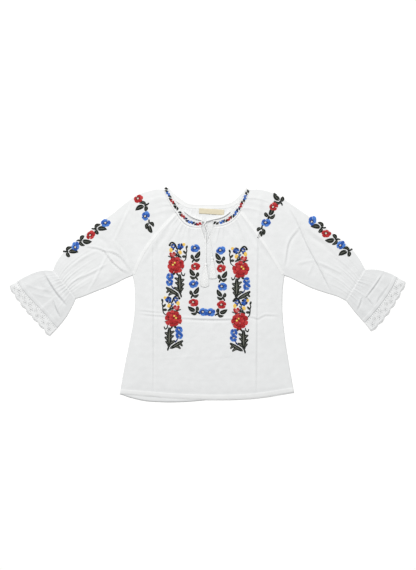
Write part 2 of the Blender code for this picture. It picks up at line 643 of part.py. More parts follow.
def add_lace(name, side, seed, layer, finish):
    xy, across, faces = lace_mesh(side)
    if layer == "front":
        under = front_under(xy, ruffle(across, seed))
    else:
        under = np.zeros(len(xy))
    facing_out(add_wall(name, xy, under, under + LACE, faces, finish))


def add_strip(name, lower_line, upper_line, base, rise, finish):
    """A binding between two plan lines, with rounded long edges, standing on a base height."""
    across = upper_line - lower_line
    width = np.linalg.norm(across, axis=1)[:, None]
    inset = across / width * BAND_EDGE
    profile = [
        (lower_line, 0.0),
        (lower_line, 0.55 * rise),
        (lower_line + inset, rise),
        (upper_line - inset, rise),
        (upper_line, 0.55 * rise),
        (upper_line, 0.0),
    ]
    rings = np.stack([np.column_stack([line, base + height]) for line, height in profile], axis=1)
    rows, around = rings.shape[:2]
    faces = [tuple(range(around)), tuple(reversed(range((rows - 1) * around, rows * around)))]
    for i in range(rows - 1):
        for j in range(around):
            a, b = i * around + j, i * around + (j + 1) % around
            faces.append((a, a + around, b + around, b))
    facing_out(add_mesh(name, rings.reshape(-1, 3), faces, finish))


def add_front_binding(name, side, finish):
    shares = np.linspace(0, 1, 29)
    outer, inner = smooth_line(side["neck_outer"], shares), smooth_line(side["neck_inner"], shares)
    middle = (outer + inner) / 2
    add_strip(name, outer, inner, front_under(middle) + 0.35, BAND_RISE, finish)


def add_back_binding(finish):
    low = (
        list(reversed(RIGHT["neck_back_low"]))
        + BACK_NECK_LOW[1:-1]
        + list(LEFT["neck_back_low"])
    )
    shares = np.linspace(0, 1, 33)
    lower, upper = smooth_line(low, shares), smooth_line(BACK_NECK, shares)
    add_strip("neck_binding_back", lower, upper, np.zeros(len(shares)), BACK_BAND_RISE, finish)


def add_label(finish):
    turn = math.radians(LABEL["turn"])
    across = np.array([math.cos(turn), math.sin(turn)])
    up = np.array([-math.sin(turn), math.cos(turn)])
    columns, rows = 6, 2
    xy, lines = [], []
    for i in range(rows + 1):
        lines.append(list(range(len(xy), len(xy) + columns + 1)))
        for j in range(columns + 1):
            x, y = (j / columns - 0.5) * LABEL["size"][0], (0.5 - i / rows) * LABEL["size"][1]
            xy.append(np.array(LABEL["centre"]) + x * across + y * up)
    xy = np.array(xy)
    under = np.full(len(xy), LABEL["under"])
    facing_out(add_wall("neck_label", xy, under, under + LABEL_WALL, sheet_faces(lines), finish))


def tie_route(tie):
    """A tie's centre line: along the binding, once round the other tie, and down to its tassel."""
    top, foot = np.array(TWIST["top"]), np.array(TWIST["foot"])
    twist = []
    for share in np.linspace(0, 1, 9):
        angle = tie["side"] + 2 * math.pi * share
        middle = top + share * (foot - top)
        twist.append((middle[0] + TWIST["radius"] * math.cos(angle), middle[1],
                      TWIST["z"] + TWIST["radius"] * math.sin(angle)))
    return tie["lead"] + twist + tie["fall"]


def add_tie(name, tie, finish):
    route = smooth_line(tie_route(tie), np.linspace(0, 1, 37))
    curve = bpy.data.curves.new(name, "CURVE")
    curve.dimensions = "3D"
    curve.bevel_depth = CORD_DIAMETER / 2 * MM
    curve.bevel_resolution = 2
    curve.use_fill_caps = True
    spline = curve.splines.new("POLY")
    spline.points.add(len(route) - 1)
    for point, place in zip(spline.points, route):
        point.co = (*(place * MM), 1)
    curve.materials.append(finish)
    made = bpy.data.objects.new(name, curve)
    bpy.context.scene.collection.objects.link(made)


def tassel_head(start, along, aside, z):
    """Rings of a tassel's head: a round knob, a bound neck and the root of the skirt."""
    profile = [(0.0, 0.35), (0.1, 0.75), (0.3, 1.0), (0.5, 0.92), (0.64, 0.66), (0.72, 0.66), (0.82, 1.0),
               (1.0, 1.12)]
    sides = 10
    rings = []
    for share, size in profile:
        middle = start + share * TASSEL_HEAD * along
        radius = size * TASSEL_HEAD_RADIUS
        for k in range(sides):
            turn = 2 * math.pi * k / sides
            spread = radius * (1.0 + 0.75 * max(0.0, share - 0.72)) * math.cos(turn)
            rings.append((*(middle + spread * aside), z + 0.72 * radius * math.sin(turn)))
    rows = len(profile)
    faces = [tuple(reversed(range(sides))), tuple(range((rows - 1) * sides, rows * sides))]
    for i in range(rows - 1):
        for j in range(sides):
            a, b = i * sides + j, i * sides + (j + 1) % sides
            faces.append((a, b, b + sides, a + sides))
    return rings, faces


def tassel_strands(start, along, aside, length, pitch, z_of):
    """Square strands that fan out from inside the head's end."""
    points, faces = [], []
    root = TASSEL_HEAD - 1.4
    for layer in range(STRAND_LAYERS):
        across = STRANDS_ACROSS - (layer == STRAND_LAYERS - 1)
        for k in range(across):
            place = k - (across - 1) / 2
            reach = length * (1 - 0.05 * abs(unevenness(k + 9 * layer, 4)))
            first = len(points)
            steps = 3
            for step in range(steps + 1):
                share = step / steps
                spread = place * (STRAND_ROOT + (pitch - STRAND_ROOT) * share ** 0.8)
                middle = start + (root + share * (reach - root)) * along + spread * aside
                z = z_of(middle, layer, share)
                size = 0.56 + 0.44 * share
                for u, w in ((-1, -1), (1, -1), (1, 1), (-1, 1)):
                    place_now = middle + u * size * STRAND_WIDTH / 2 * aside
                    points.append((*place_now, z + w * size * STRAND_DEPTH / 2))
            faces.append((first + 3, first + 2, first + 1, first))
            faces.append(tuple(first + 4 * steps + v for v in range(4)))
            for step in range(steps):
                for j in range(4):
                    a, b = first + 4 * step + j, first + 4 * step + (j + 1) % 4
                    faces.append((a, b, b + 4, a + 4))
    return points, faces


def add_tassel(name, tie, finish):
    start, end = (np.array(p) for p in tie["tassel"])
    length = float(np.linalg.norm(end - start))
    along = (end - start) / length
    aside = np.array([-along[1], along[0]])
    line = start + np.linspace(0, length, 30)[:, None] * along
    covered = np.concatenate([line - 5 * aside, line, line + 5 * aside])
    rest = float(front_under(covered).max()) + CLOTH + CORD_CLEAR
    head_z = rest + 0.72 * 1.12 * TASSEL_HEAD_RADIUS

    def strand_z(middle, layer, share):
        spread = rest + STRAND_DEPTH / 2 + layer * STRAND_LAYER
        rooted = head_z + (layer - 1) * 0.98
        return rooted + (spread - rooted) * share ** 0.5

    head = add_mesh(name, *tassel_head(start, along, aside, head_z), finish)
    facing_out(head)
    strands = tassel_strands(start, along, aside, length, tie["pitch"], strand_z)
    skirt = add_mesh(name + "_skirt", *strands, finish)
    facing_out(skirt)
    skirt.hide_render = True
    skirt.display_type = "WIRE"
    union = head.modifiers.new("skirt", "BOOLEAN")
    union.operation = "UNION"
    union.solver = "EXACT"
    union.object = skirt


def build():
    clear_scene()
    cotton = material("white_cotton", WHITE, 0.9)
    lace = material("white_lace", LACE_WHITE, 0.9)
    cream = material("cream_tape", CREAM, 0.7)
    add_back(cotton)
    add_front(cotton)
    add_back_binding(cotton)
    for name, side, seed in (("right", RIGHT, 1), ("left", LEFT, 2)):
        add_sleeve(f"sleeve_{name}", side, seed, cotton)
        add_flounce(f"cuff_flounce_{name}", side, seed, cotton)
        add_lace(f"cuff_lace_{name}_front", side, seed, "front", lace)
        add_lace(f"cuff_lace_{name}_back", side, seed, "back", lace)
        add_front_binding(f"neck_binding_front_{name}", side, cotton)
        add_tie(f"tie_cord_{name}", TIES[name], cotton)
        add_tassel(f"tassel_{name}", TIES[name], cotton)
    add_label(cream)


build()
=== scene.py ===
"""The looks of a girl's embroidered Romanian ie blouse of white cotton, laid flat with its front up.

Sizes are in millimetres until a piece's mesh is made. X runs towards the wearer's left, Y from the hem to
the neck and Z up, as in the frame.
"""

import math

import bpy
import numpy as np
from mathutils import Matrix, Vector
from mathutils.bvhtree import BVHTree
from mathutils.geometry import delaunay_2d_cdt


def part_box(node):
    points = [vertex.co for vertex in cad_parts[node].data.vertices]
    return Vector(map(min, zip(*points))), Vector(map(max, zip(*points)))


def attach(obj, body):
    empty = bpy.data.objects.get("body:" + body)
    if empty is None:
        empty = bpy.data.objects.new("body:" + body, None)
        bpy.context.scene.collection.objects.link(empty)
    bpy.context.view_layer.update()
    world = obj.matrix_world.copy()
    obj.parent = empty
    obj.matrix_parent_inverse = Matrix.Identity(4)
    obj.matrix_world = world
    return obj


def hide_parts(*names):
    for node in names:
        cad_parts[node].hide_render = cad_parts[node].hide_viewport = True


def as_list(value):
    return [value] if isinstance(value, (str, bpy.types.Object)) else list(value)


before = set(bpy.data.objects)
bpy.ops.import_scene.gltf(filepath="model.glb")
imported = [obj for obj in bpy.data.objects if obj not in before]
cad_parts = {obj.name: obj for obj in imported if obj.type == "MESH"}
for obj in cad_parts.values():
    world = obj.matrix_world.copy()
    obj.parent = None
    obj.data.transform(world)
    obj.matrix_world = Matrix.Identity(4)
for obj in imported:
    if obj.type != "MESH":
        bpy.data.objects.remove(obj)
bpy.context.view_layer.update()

MM = 0.001
BATCH = 4000  # points measured at a time

# The blouse's driving sizes, as in the frame
CLOTH = 1.2
SHEET = 0.6  # wall of the finer cloth drawn here
SEAM_GAP = 0.4
EDGE_LIFT = 0.9
LOFT = 1.9
LOFT_REACH = 15.0
UNDULATION = 0.3
HEM_RISE = 0.6
BODY_HEM = 11.0
FLOUNCE_HEM = 8.0
BAND_RISE = 2.6
BACK_BAND_RISE = 1.6
SCALLOP_PITCH = 21.0
SCALLOP_DEPTH = 3.4
UNDER_HEM = 1.2  # how far the lace runs under the flounce
RAGLAN_SHARE = 2 / 3

# How the cloth lies at its edges
FOLD_RADIUS = 1.8  # of the cloth at a folded edge
HEM_ROLL = 1.3  # a hem's edge turns down this much faster than a seam's
FRONT_EDGE = 0.35  # the front panel's side edge over the wall of the cloth under it
FLOOR_GAP = 0.04  # under the back panel's hem
PLAIN_EDGE = 0.06  # share of a panel's width in which its gathers grow from nothing at a side edge
SLIT_EDGE = {"rise": 1.2, "middle": 1.2, "half": 1.5}  # the front is raised beside the slit
PINCH = {"depth": 1.1, "reach": 0.02}  # where the elastic draws a sleeve in
TUBE_EDGE = (0, 0.0015, 0.005, 0.011, 0.019, 0.029)  # shares across a tube near its rolled edge

# The photograph's scale and frame
PIXEL = 2.2
PHOTO_SIZE = (416, 570)
PHOTO_CENTRE = (208.0, 285.0)
ORIGIN_PIXEL = (207.6, 295.0)

RIGHT = {
    "shoulder": [(-96.5, 232.0), (-111, 233.4), (-127, 229.9), (-152, 221.8), (-179, 203.9), (-208, 180.4),
                 (-248, 150.7), (-281, 126.5), (-311.5, 100), (-328, 80), (-336, 65), (-339.5, 53.7)],
    "underarm": [(-165, 43.6), (-180, 37.4), (-206, 24.4), (-250, 7), (-274, -2.8), (-290, -7.9)],
    "flounce_top": [(-339.5, 53.7), (-360, 54.6), (-375, 51.7), (-390, 46), (-409, 36.5), (-418.4, 30.4)],
    "flounce_bottom": [(-290, -7.9), (-298.5, -26.2), (-309, -45), (-320.5, -60.5), (-330.9, -72.4)],
    "flounce_hem": [(-330.9, -72.4), (-355.5, -43.5), (-379, -19), (-400.5, 4.2), (-418.4, 30.4)],
    "lace_edge": [(-347.8, -89.5), (-367.6, -66.5), (-383.5, -49.5), (-399, -32.6), (-413.5, -14.3),
                  (-425.5, 3), (-435.4, 19.4)],
    "side": [(-165, 43.6), (-160.6, 19.8), (-159.9, -11), (-160.6, -37.4), (-165, -70.4), (-173, -110),
             (-183, -160.6), (-193.2, -217.8)],
    "neck_outer": [(-96.1, 231.4), (-88.4, 211.6), (-79.6, 195.1), (-69.5, 181.1), (-60, 166.8),
                   (-49.5, 156.4), (-37, 150.2), (-24.5, 148.6), (-13.6, 149.2)],
    "neck_inner": [(-86.2, 235.9), (-78, 220.9), (-70, 207.6), (-61.2, 194), (-51.6, 181), (-42.4, 171),
                   (-31.5, 164.6), (-20.8, 162.4), (-11.2, 162.3)],
    "raglan_front": [(-165, 43.6), (-148.5, 82), (-125.5, 118.6), (-97.5, 152), (-69.5, 181.1)],
    "raglan_back": [(-165, 43.6), (-133, 103), (-96, 158), (-61.5, 201.2)],
    "neck_back_low": [(-61.5, 201.2), (-78.5, 214.9), (-96.1, 231.4)],
    "slit": [(-13.6, 149.2), (-9.4, 135.6), (-5.6, 124), (-2.6, 115.5)],
}
LEFT = {
    "shoulder": [(94.2, 232.2), (113.5, 232.8), (135, 227.9), (150, 222.2), (166.5, 212.1), (195.4, 192.5),
                 (225.7, 171.2), (256, 150.2), (286.4, 127.4), (310.6, 107.2), (326, 90.5), (339.5, 69.9),
                 (346.3, 56.3)],
    "underarm": [(168.7, 43.1), (180.2, 39.2), (201.5, 28.8), (225.7, 17.2), (256, 6.4), (286.4, -3.2),
                 (304.5, -12.1)],
    "flounce_top": [(346.3, 56.3), (365.2, 56.6), (386.3, 53.2), (401.3, 47.8), (417.3, 39.6)],
    "flounce_bottom": [(304.5, -12.1), (313.7, -24.2), (325.8, -39.4), (337, -52.2), (345.4, -60.9)],
    "flounce_hem": [(345.4, -60.9), (366, -38.2), (386.3, -12.8), (403.5, 13), (417.3, 39.6)],
    "lace_edge": [(359.9, -78.8), (380.4, -59.3), (397.5, -37.6), (413.4, -13.2), (425.5, 8.2),
                  (435.4, 27.7)],
    "side": [(168.7, 43.1), (165.4, 15.4), (164.1, -17.6), (165.2, -50.6), (169.2, -88.9), (178, -146.1),
             (189.9, -214.1)],
    "neck_outer": [(93.7, 231.4), (87.4, 214.6), (80.4, 199.6), (72.4, 185.5), (63, 171.4), (51.6, 160.8),
                   (38.4, 154.2), (25, 151.4), (13.6, 151.4)],
    "neck_inner": [(83.6, 235.3), (76.6, 220.6), (69.2, 206.6), (60.9, 193.3), (51.8, 181.6), (42.8, 173.4),
                   (32.6, 167.7), (21.6, 164.9), (11.2, 164.3)],
    "raglan_front": [(168.7, 43.1), (146, 80.6), (121, 119.4), (96.6, 154), (72.4, 185.5)],
    "raglan_back": [(168.7, 43.1), (134, 103), (97, 158), (64, 200.6)],
    "neck_back_low": [(64, 200.6), (77.5, 213), (93.7, 231.4)],
    "slit": [(13.6, 151.4), (8.6, 138.6), (3.2, 126), (-1.8, 115.5)],
}
SIDES = (("right", RIGHT, 1), ("left", LEFT, 2))
BACK_NECK = [(-86.2, 235.9), (-70.2, 220.9), (-56, 209.9), (-43.6, 202), (-29.5, 199.6), (-1.3, 198.9),
             (26.6, 199.4), (45, 201.8), (59, 208.8), (69.5, 218.4), (83.6, 235.3)]
BACK_NECK_LOW = [(-61.5, 201.2), (-46, 193), (-30, 190.4), (-1.3, 189.7), (27, 190.2), (47, 192.8),
                 (64, 200.6)]
FRONT_HEM = [(-193.2, -217.8), (-124, -223.4), (-68, -227.4), (12.5, -230.1), (100, -227.2), (189.9, -214.1)]
BACK_HEM = [(-193.2, -217.8), (-165, -227), (-138, -232.8), (-104, -235.4), (-60.7, -235.4), (-16.7, -232.4),
            (16.3, -228.8), (100, -222.6), (189.9, -214.1)]
SLIT_FOOT = (-2.2, 115.0)

# Soft folds: height, width and points, where a height under 0 is a trough
FOLDS = [
    (0.6, 3.0, [(-113.6, -216), (-113, -60), (-113.6, 40), (-115, 140)]),
    (-0.5, 3.4, [(-106.6, 66), (-108, 150)]),
    (0.6, 3.0, [(102.6, -218), (103.6, -60), (104.6, 40), (106, 140)]),
    (0.5, 5.0, [(-157, 72), (-128, 112), (-98, 146)]),
    (0.5, 5.0, [(158, 68), (126, 110), (98, 146)]),
    (0.9, 4.5, [(-79, 166), (-112, 120), (-147, 68)]),
    (-0.5, 4.5, [(-72, 160), (-100, 118), (-134, 70)]),
    (0.5, 5.0, [(-66, 158), (-112, 96)]),
    (0.9, 4.5, [(84, 166), (120, 116), (156, 62)]),
    (-0.5, 4.5, [(76, 160), (110, 112), (142, 66)]),
    (0.5, 5.0, [(70, 158), (114, 96)]),
    (0.7, 4.0, [(-42.7, 150), (-43, 132), (-41, 104)]),
    (0.6, 4.0, [(-32, 146), (-31, 128), (-27, 112)]),
    (0.7, 4.5, [(-72, 172), (-78, 152), (-85, 126)]),
    (0.6, 4.5, [(-58, 160), (-62, 142), (-66, 118)]),
    (-0.5, 4.0, [(-50, 152), (-52, 130), (-53, 112)]),
    (0.6, 4.0, [(20, 149), (26, 134), (32, 112)]),
    (0.7, 4.5, [(39, 150), (50, 134), (65, 112)]),
    (0.7, 4.5, [(66, 160), (78, 136), (90, 104)]),
    (-0.5, 4.0, [(52, 156), (62, 136), (74, 116)]),
    (0.5, 4.5, [(-128, 214), (-124, 196), (-122, 176)]),
    (-0.6, 5.0, [(-112, 222), (-110, 196), (-102, 172)]),
    (0.5, 5.0, [(-97, 214), (-112, 206), (-130, 206)]),
    (-0.7, 5.0, [(126, 222), (124, 186), (118, 150)]),
    (0.6, 5.0, [(116, 216), (113, 186), (108, 156)]),
    (1.3, 2.6, [(-164.4, 208.8), (-184, 166), (-202, 125.2)]),
    (-1.0, 3.2, [(-171, 206), (-189, 163), (-207, 124)]),
    (0.8, 3.0, [(-160, 196), (-140, 160), (-127, 128)]),
    (-0.5, 3.2, [(-152, 196), (-133, 160), (-120, 134)]),
    (0.5, 3.4, [(-176, 176), (-158, 140), (-150, 108)]),
    (1.2, 2.6, [(-207, 118.4), (-186, 90), (-169.4, 57.2)]),
    (-0.6, 3.6, [(-200, 120), (-180, 92), (-164, 60)]),
    (1.3, 2.6, [(-222.4, 84.3), (-234.3, 60.5), (-247.9, 33.2), (-265, 2.4)]),
    (-0.6, 3.4, [(-229, 82), (-241, 57), (-254, 30), (-270, 4)]),
    (1.1, 2.6, [(-224, 67.3), (-254.8, 50.2), (-285.3, 36.5), (-309.3, 22.9)]),
    (-0.6, 3.4, [(-226, 59), (-256, 43), (-286, 29)]),
    (0.8, 3.0, [(-311, 79), (-290, 100), (-268, 120)]),
    (-0.5, 3.2, [(-316, 86), (-296, 106), (-276, 122)]),
    (0.8, 3.0, [(-300, 62), (-270, 84), (-240, 98)]),
    (-0.7, 4.5, [(-250, 128), (-228, 120), (-214, 96)]),
    (0.6, 3.0, [(-199, 40), (-226, 28), (-252, 13)]),
    (-0.9, 3.0, [(170, 209), (196, 186), (215.4, 141.9)]),
    (0.7, 3.0, [(176, 211), (203, 188), (221, 148)]),
    (-1.3, 4.0, [(218.7, 138.6), (236, 122), (251.7, 112.2)]),
    (0.8, 3.0, [(224, 146), (242, 130), (258, 119)]),
    (0.9, 2.6, [(198.9, 69.3), (218, 74), (235.2, 75.9)]),
    (0.8, 2.6, [(222, 46.2), (231.9, 69.3)]),
    (1.0, 2.6, [(235.2, 75.9), (262, 64), (291.3, 49.5)]),
    (-0.6, 3.4, [(236, 68), (262, 56), (290, 42)]),
    (0.8, 3.0, [(250, 128), (276, 100), (300, 70)]),
    (-0.6, 3.4, [(244, 122), (270, 94), (293, 64)]),
    (0.7, 3.0, [(181, 45), (214, 30), (250, 16), (297, 3)]),
    (1.1, 3.0, [(-354, 52), (-340, 28), (-326, 8), (-309, -12)]),
    (0.8, 3.0, [(-324, -22), (-321, -36), (-318, -52)]),
    (0.8, 3.0, [(-400, 24), (-372, 14), (-346, 10)]),
    (0.7, 3.0, [(-384, 4), (-362, -2), (-340, -6)]),
    (-0.7, 5.0, [(-344, -6), (-362, 14), (-374, 34)]),
    (0.8, 3.0, [(400, 26), (384, 8), (372, -10)]),
    (0.8, 3.0, [(366, -26), (372, -12), (374, 2)]),
    (-0.8, 5.0, [(374, -18), (392, 10), (406, 30)]),
    (0.8, 6.0, [(-3.2, 114), (-3.8, 92), (-4, 66)]),
    (0.9, 6.0, [(5, 124), (8.2, 98), (10.4, 78)]),
    (0.35, 2.0, [(-116, -141), (-94, -139), (-70, -138), (-30, -133)]),
    (-0.35, 2.4, [(-4, -147), (24, -141), (52, -138)]),
    (0.3, 2.4, [(-60, -180), (-20, -186), (30, -184)]),
    (0.3, 2.2, [(20, -108), (60, -112), (96, -106)]),
]

# Pressed creases: height, width and points, with the higher side on the left of the way along them
PRESSED = [
    (1.3, 3.0, [(-119.8, -216), (-119.6, -60), (-120, 40), (-121, 110)]),
    (1.1, 3.0, [(106.8, -218), (108.4, -60), (109.6, 40), (110.8, 130)]),
    (0.7, 3.0, [(-159, -33), (-128, -36.5), (-100, -39)]),
    (0.8, 3.0, [(-159, -40.5), (-128, -44), (-100, -46.5), (-60, -50.5)]),
    (1.5, 3.0, [(-58, -51), (-10, -53.6), (38.3, -54), (66, -52.4)]),
    (0.9, 3.0, [(74, -49), (94, -48.2), (104, -50.5), (112.2, -53.2), (116, -50.5), (120.1, -46.6),
                (140, -45), (164, -46.6)]),
    (1.6, 2.8, [(-259.8, 104.7), (-240, 101.5), (-227.5, 96.4), (-218.9, 84.3), (-207, 70.6), (-187, 53.6),
                (-168, 45)]),
    (1.1, 3.2, [(-227.5, 96.4), (-206, 92), (-193.4, 84.3), (-172.9, 57.2)]),
    (1.5, 2.8, [(350, -3), (370, 24), (389, 54)]),
    (1.6, 3.0, [(324.3, -37.4), (332, -26), (337.5, -8.8)]),
    (1.3, 2.6, [(350.7, -4.4), (355, -11), (359.5, -17.6)]),
    (2.2, 3.0, [(167.6, 211.2), (192.3, 168.3), (218.7, 108.9), (245.1, 59.4), (273.2, 3.3)]),
    (1.6, 3.4, [(170.9, 69.3), (182.4, 122.1), (200.6, 145.2)]),
    (2.2, 3.4, [(-336.6, -17), (-332.5, -31), (-325.8, -44)]),
    (2.5, 3.9, [(-363, 56), (-346.7, 26.4), (-333.1, 5.9), (-314, -17)]),
]

# Large and fine gathers at each seam: count, height, reach as a share of the piece, and a part of the seed
GATHERS = {
    "front": [(9, 1.1, 0.15, 0), (25, 0.6, 0.05, 11)],
    "back": [(10, 0.6, 0.30, 5), (23, 0.5, 0.20, 9)],
    "head": [(4, 0.9, 0.20, 0), (11, 0.5, 0.08, 4)],
    "wrist": [(14, 1.0, 0.20, 0), (31, 0.75, 0.13, 5)],
    "flounce": [(12, 1.1, 0.32, 0), (31, 0.95, 0.28, 5)],
}
RUFFLES = {"count": 4, "height": 1.4}

# The inside of the back, seen through the slit and under the ties
BEHIND_SLIT = {"centre": (0.0, 134.0), "reach": (12.0, 18.0), "depth": 0.5}
SLIT_CREASE = {"line": [(3.4, 152), (3.4, 140), (0.4, 127), (-2.2, 116)], "height": 1.1, "width": 2.6}
UNDER_TIE = {"gap": 0.15, "highest": 3.3, "reach": 4.0}

# The lace, with radii of its cords and holes
LACE_WALL = 0.5
LACE_TOP = 1.0  # of a strip that lies on the floor
PICOT = 0.35
PLAIN_LACE = 0.03  # share of a strip's length without holes at each end
EDGE_CORD = 0.42
INNER_CORD = {"aside": 2.4, "radius": 0.3}
OUTER_EYELETS = {"depth": 0.66, "radius": 1.15}  # depth as a share of the way from hem to edge
INNER_EYELETS = {"depth": 0.40, "radius": 1.05}
LEAST_EYELET = 1.0  # a smaller hole has no bars
PINHOLES = {"count": 6, "away": 3.9, "turn": 0.5, "radius": 0.45}
HEM_HOLES = {"depth": 0.12, "radius": 0.55}
HOLE_GAP = 0.7
BAR_TURNS = (0.4, 1.45, 2.5)

# Profiles of the neck binding: share across, and height, at the back as a share of its rise
FRONT_BAND = [(0.0, 0.3), (0.01, 1.0), (0.06, 1.5), (0.13, 1.55), (0.19, 1.25), (0.25, 1.35), (0.5, 1.75),
              (0.75, 1.8), (0.80, 1.7), (0.85, 2.35), (0.92, BAND_RISE), (0.97, 2.2), (1.0, 1.2), (1.0, -0.5)]
BACK_BAND = [(0.0, 0), (-0.10, 0.75), (-0.06, 1.02), (0.03, 1.12), (0.12, 1), (0.5, 0.95), (0.83, 0.9),
             (0.9, 1), (0.96, 0.9), (1.0, 0.5), (1.0, 0)]

LABEL = {"centre": (8.8, 183.2), "size": (55.0, 12.0), "turn": -3.6, "under": 2.3, "wall": 1.0}
CORD_DIAMETER = 2.6
TWIST = {"top": (-6.4, 161.0), "foot": (-4.6, 147.5), "z": 5.5, "radius": 1.75}
TIES = {
    "right": {
        "lead": [(-50.2, 183.2, 4.4), (-44.6, 178.8, 4.6), (-38, 174.2, 4.8), (-30, 169.9, 5.0),
                 (-22, 167.0, 5.2), (-14, 164.4, 5.4)],
        "fall": [(-5.6, 141, 5.3), (-4.6, 132, 5.3), (-4.0, 122, 5.5), (-3.8, 112, 5.9), (-3.8, 98, 6.1),
                 (-3.8, 84, 6.6), (-4.0, 70.4, 6.9)],
        "tassel": [(-4.0, 70.0), (-7.1, 17.0)],
        "spread": 10.0,
        "side": math.pi,
        "round": 0.13,
    },
    "left": {
        "lead": [(49.4, 183.8, 4.4), (42.8, 177.8, 4.9), (35, 173.0, 5.1), (26, 169.6, 5.2), (17, 167.4, 5.3),
                 (8, 165.4, 5.4), (0.6, 163.2, 5.4)],
        "fall": [(-0.6, 141.5, 5.4), (2.2, 133, 5.8), (4.8, 123, 6.2), (6.6, 112, 6.3), (8.2, 98, 6.4),
                 (9.6, 84, 6.9)],
        "tassel": [(9.7, 83.6), (12.0, 35.6)],
        "spread": 7.8,
        "side": 0.0,
        "round": 0.03,
    },
}
CORD_STRANDS = 3
CORD_LAY = 5.4  # length of cord from one strand to the next
TASSEL_HEAD = 9.0
TASSEL_HEAD_RADIUS = 3.1
TASSEL_FLATNESS = 0.72
TASSEL_LAYERS = 4
STRANDS = 30  # in each layer of a tassel
STRAND_START = 8  # below the top of the head
SKIRT_START = 7.5
# Share along the head and share of its radius, with the wound neck between
HEAD_PROFILE = ([(0.0, 0.3), (0.04, 0.55), (0.12, 0.82), (0.26, 1.0), (0.42, 1.0), (0.55, 0.84), (0.6, 0.7)]
                + [(0.62 + 0.16 * k / 8, 0.72 + 0.08 * (k % 2)) for k in range(9)]
                + [(0.82, 0.86), (0.92, 1.04), (1.0, 0.9)])

# Bands of folded cloth on the seams: distance beside the seam, width, rise and ruck
HEM_BAND_RISE = 0.22
BANDS = {"raglan": (-1.0, 7.0, 0.5, 0.0), "elastic": (0.0, 4.4, 0.2, 0.15), "casing": (-3.0, 4.6, 0.3, 0.12),
         "slit": (-2.4, 4.4, 0.35, 0.0)}
BAND_PROFILE = [(-0.5, -0.2), (-0.46, 0.7), (-0.36, 1.0), (-0.12, 0.8), (0.12, 0.8), (0.36, 1.0), (0.46, 0.7),
                (0.5, -0.2)]

# Topstitching: distances beside the seams, or inside the fold of a hem's edge
STITCHED = {"hem": 1.2, "flounce": 1.0, "raglan": (1.6, -3.6), "casing": -5.0, "slit": -4.2}
PLACKET = {"x": (-1.0, 3.4), "y": (112, 66)}

RIDGE = 0.16  # of each thread in satin stitch
KNOT_HEIGHT = 0.5
OVER_ALL = 60.0  # a height over everything, where rays down to the cloth start

# Colours of the cloth and threads
COTTON = (0.688, 0.698, 0.705)
DOUBLE_COTTON = (0.730, 0.738, 0.742)  # where two layers of cloth lie on each other
# The flounces are the same cotton as the rest, painted darker: painted shade of the light their folds lie in
FLOUNCE_COTTON_PAINTED_SHADE = (0.655, 0.665, 0.673)
LACE_WHITE = (0.745, 0.754, 0.760)
CORD_WHITE = (0.765, 0.773, 0.775)
CREAM_TAPE = (0.635, 0.575, 0.425)
THREADS = {
    "red": (0.43, 0.020, 0.024),
    "rose": (0.53, 0.042, 0.044),
    "crimson": (0.16, 0.008, 0.011),
    "blue": (0.026, 0.105, 0.44),
    "sky": (0.078, 0.22, 0.64),
    "navy": (0.010, 0.022, 0.12),
    "leaf": (0.009, 0.012, 0.009),
    "moss": (0.14, 0.145, 0.12),
    "yellow": (0.84, 0.55, 0.10),
    "lemon": (0.82, 0.70, 0.14),
    "cream": (0.62, 0.59, 0.50),
    "pink": (0.62, 0.20, 0.19),
}

# Finishes: roughness, sheen, specular, the blotches' shade and number in a metre, the limits of roughness,
# and bumps as (kind, scale, strength, distance in millimetres)
FINISHES = {
    "cotton": (0.85, 0.12, 0.25, 0.97, 55, (0.78, 0.94), [
        ("noise", (150, 60, 60), 0.24, 1.4), ("noise", (50, 120, 60), 0.24, 1.4),
        ("noise", (460, 380, 380), 0.34, 0.6), ("X", 620, 0.10, 0.12), ("Y", 620, 0.10, 0.12)]),
    "lace": (0.85, 0.12, 0.25, 0.93, 420, (0.78, 0.94), [
        ("noise", (700, 700, 700), 0.35, 0.4), ("X", 330, 0.25, 0.2), ("Y", 330, 0.25, 0.2)]),
    "tape": (0.5, 0.1, 0.25, 0.93, 200, (0.42, 0.6), [("X", 900, 0.2, 0.1), ("Y", 500, 0.3, 0.15)]),
    "cord": (0.8, 0.12, 0.25, 0.96, 300, (0.7, 0.9), [("noise", (1500, 1500, 1500), 0.4, 0.3)]),
    "thread": (0.6, 0.02, 0.15, 0.72, 700, (0.45, 0.7), [("noise", (2200, 2200, 2200), 0.3, 0.2)]),
}

# Light: strengths, places in metres, and the sun's angle in degrees
SURROUND = 0.57
SUN = {"strength": 1.40, "angle": 22, "place": (-0.17, 0.68, 0.92)}
SOFTBOX = {"power": 12, "size": 0.9, "colour": (1.0, 0.985, 0.94), "place": (-0.2, 1.1, 1.35)}
FLOOR = {"colour": (0.96, 0.96, 0.96), "size": 8, "z": -0.0002}
LENS, SENSOR = 85, 36


def unevenness(index, seed):
    """A repeatable number from -1 to 1 for each index."""
    return math.sin(12.9898 * index + 78.233 * seed) * math.cos(4.1414 * index + seed)


def lengths_along(line):
    """The length of a line up to each of its points."""
    return np.concatenate([[0], np.cumsum(np.linalg.norm(np.diff(line, axis=0), axis=1))])


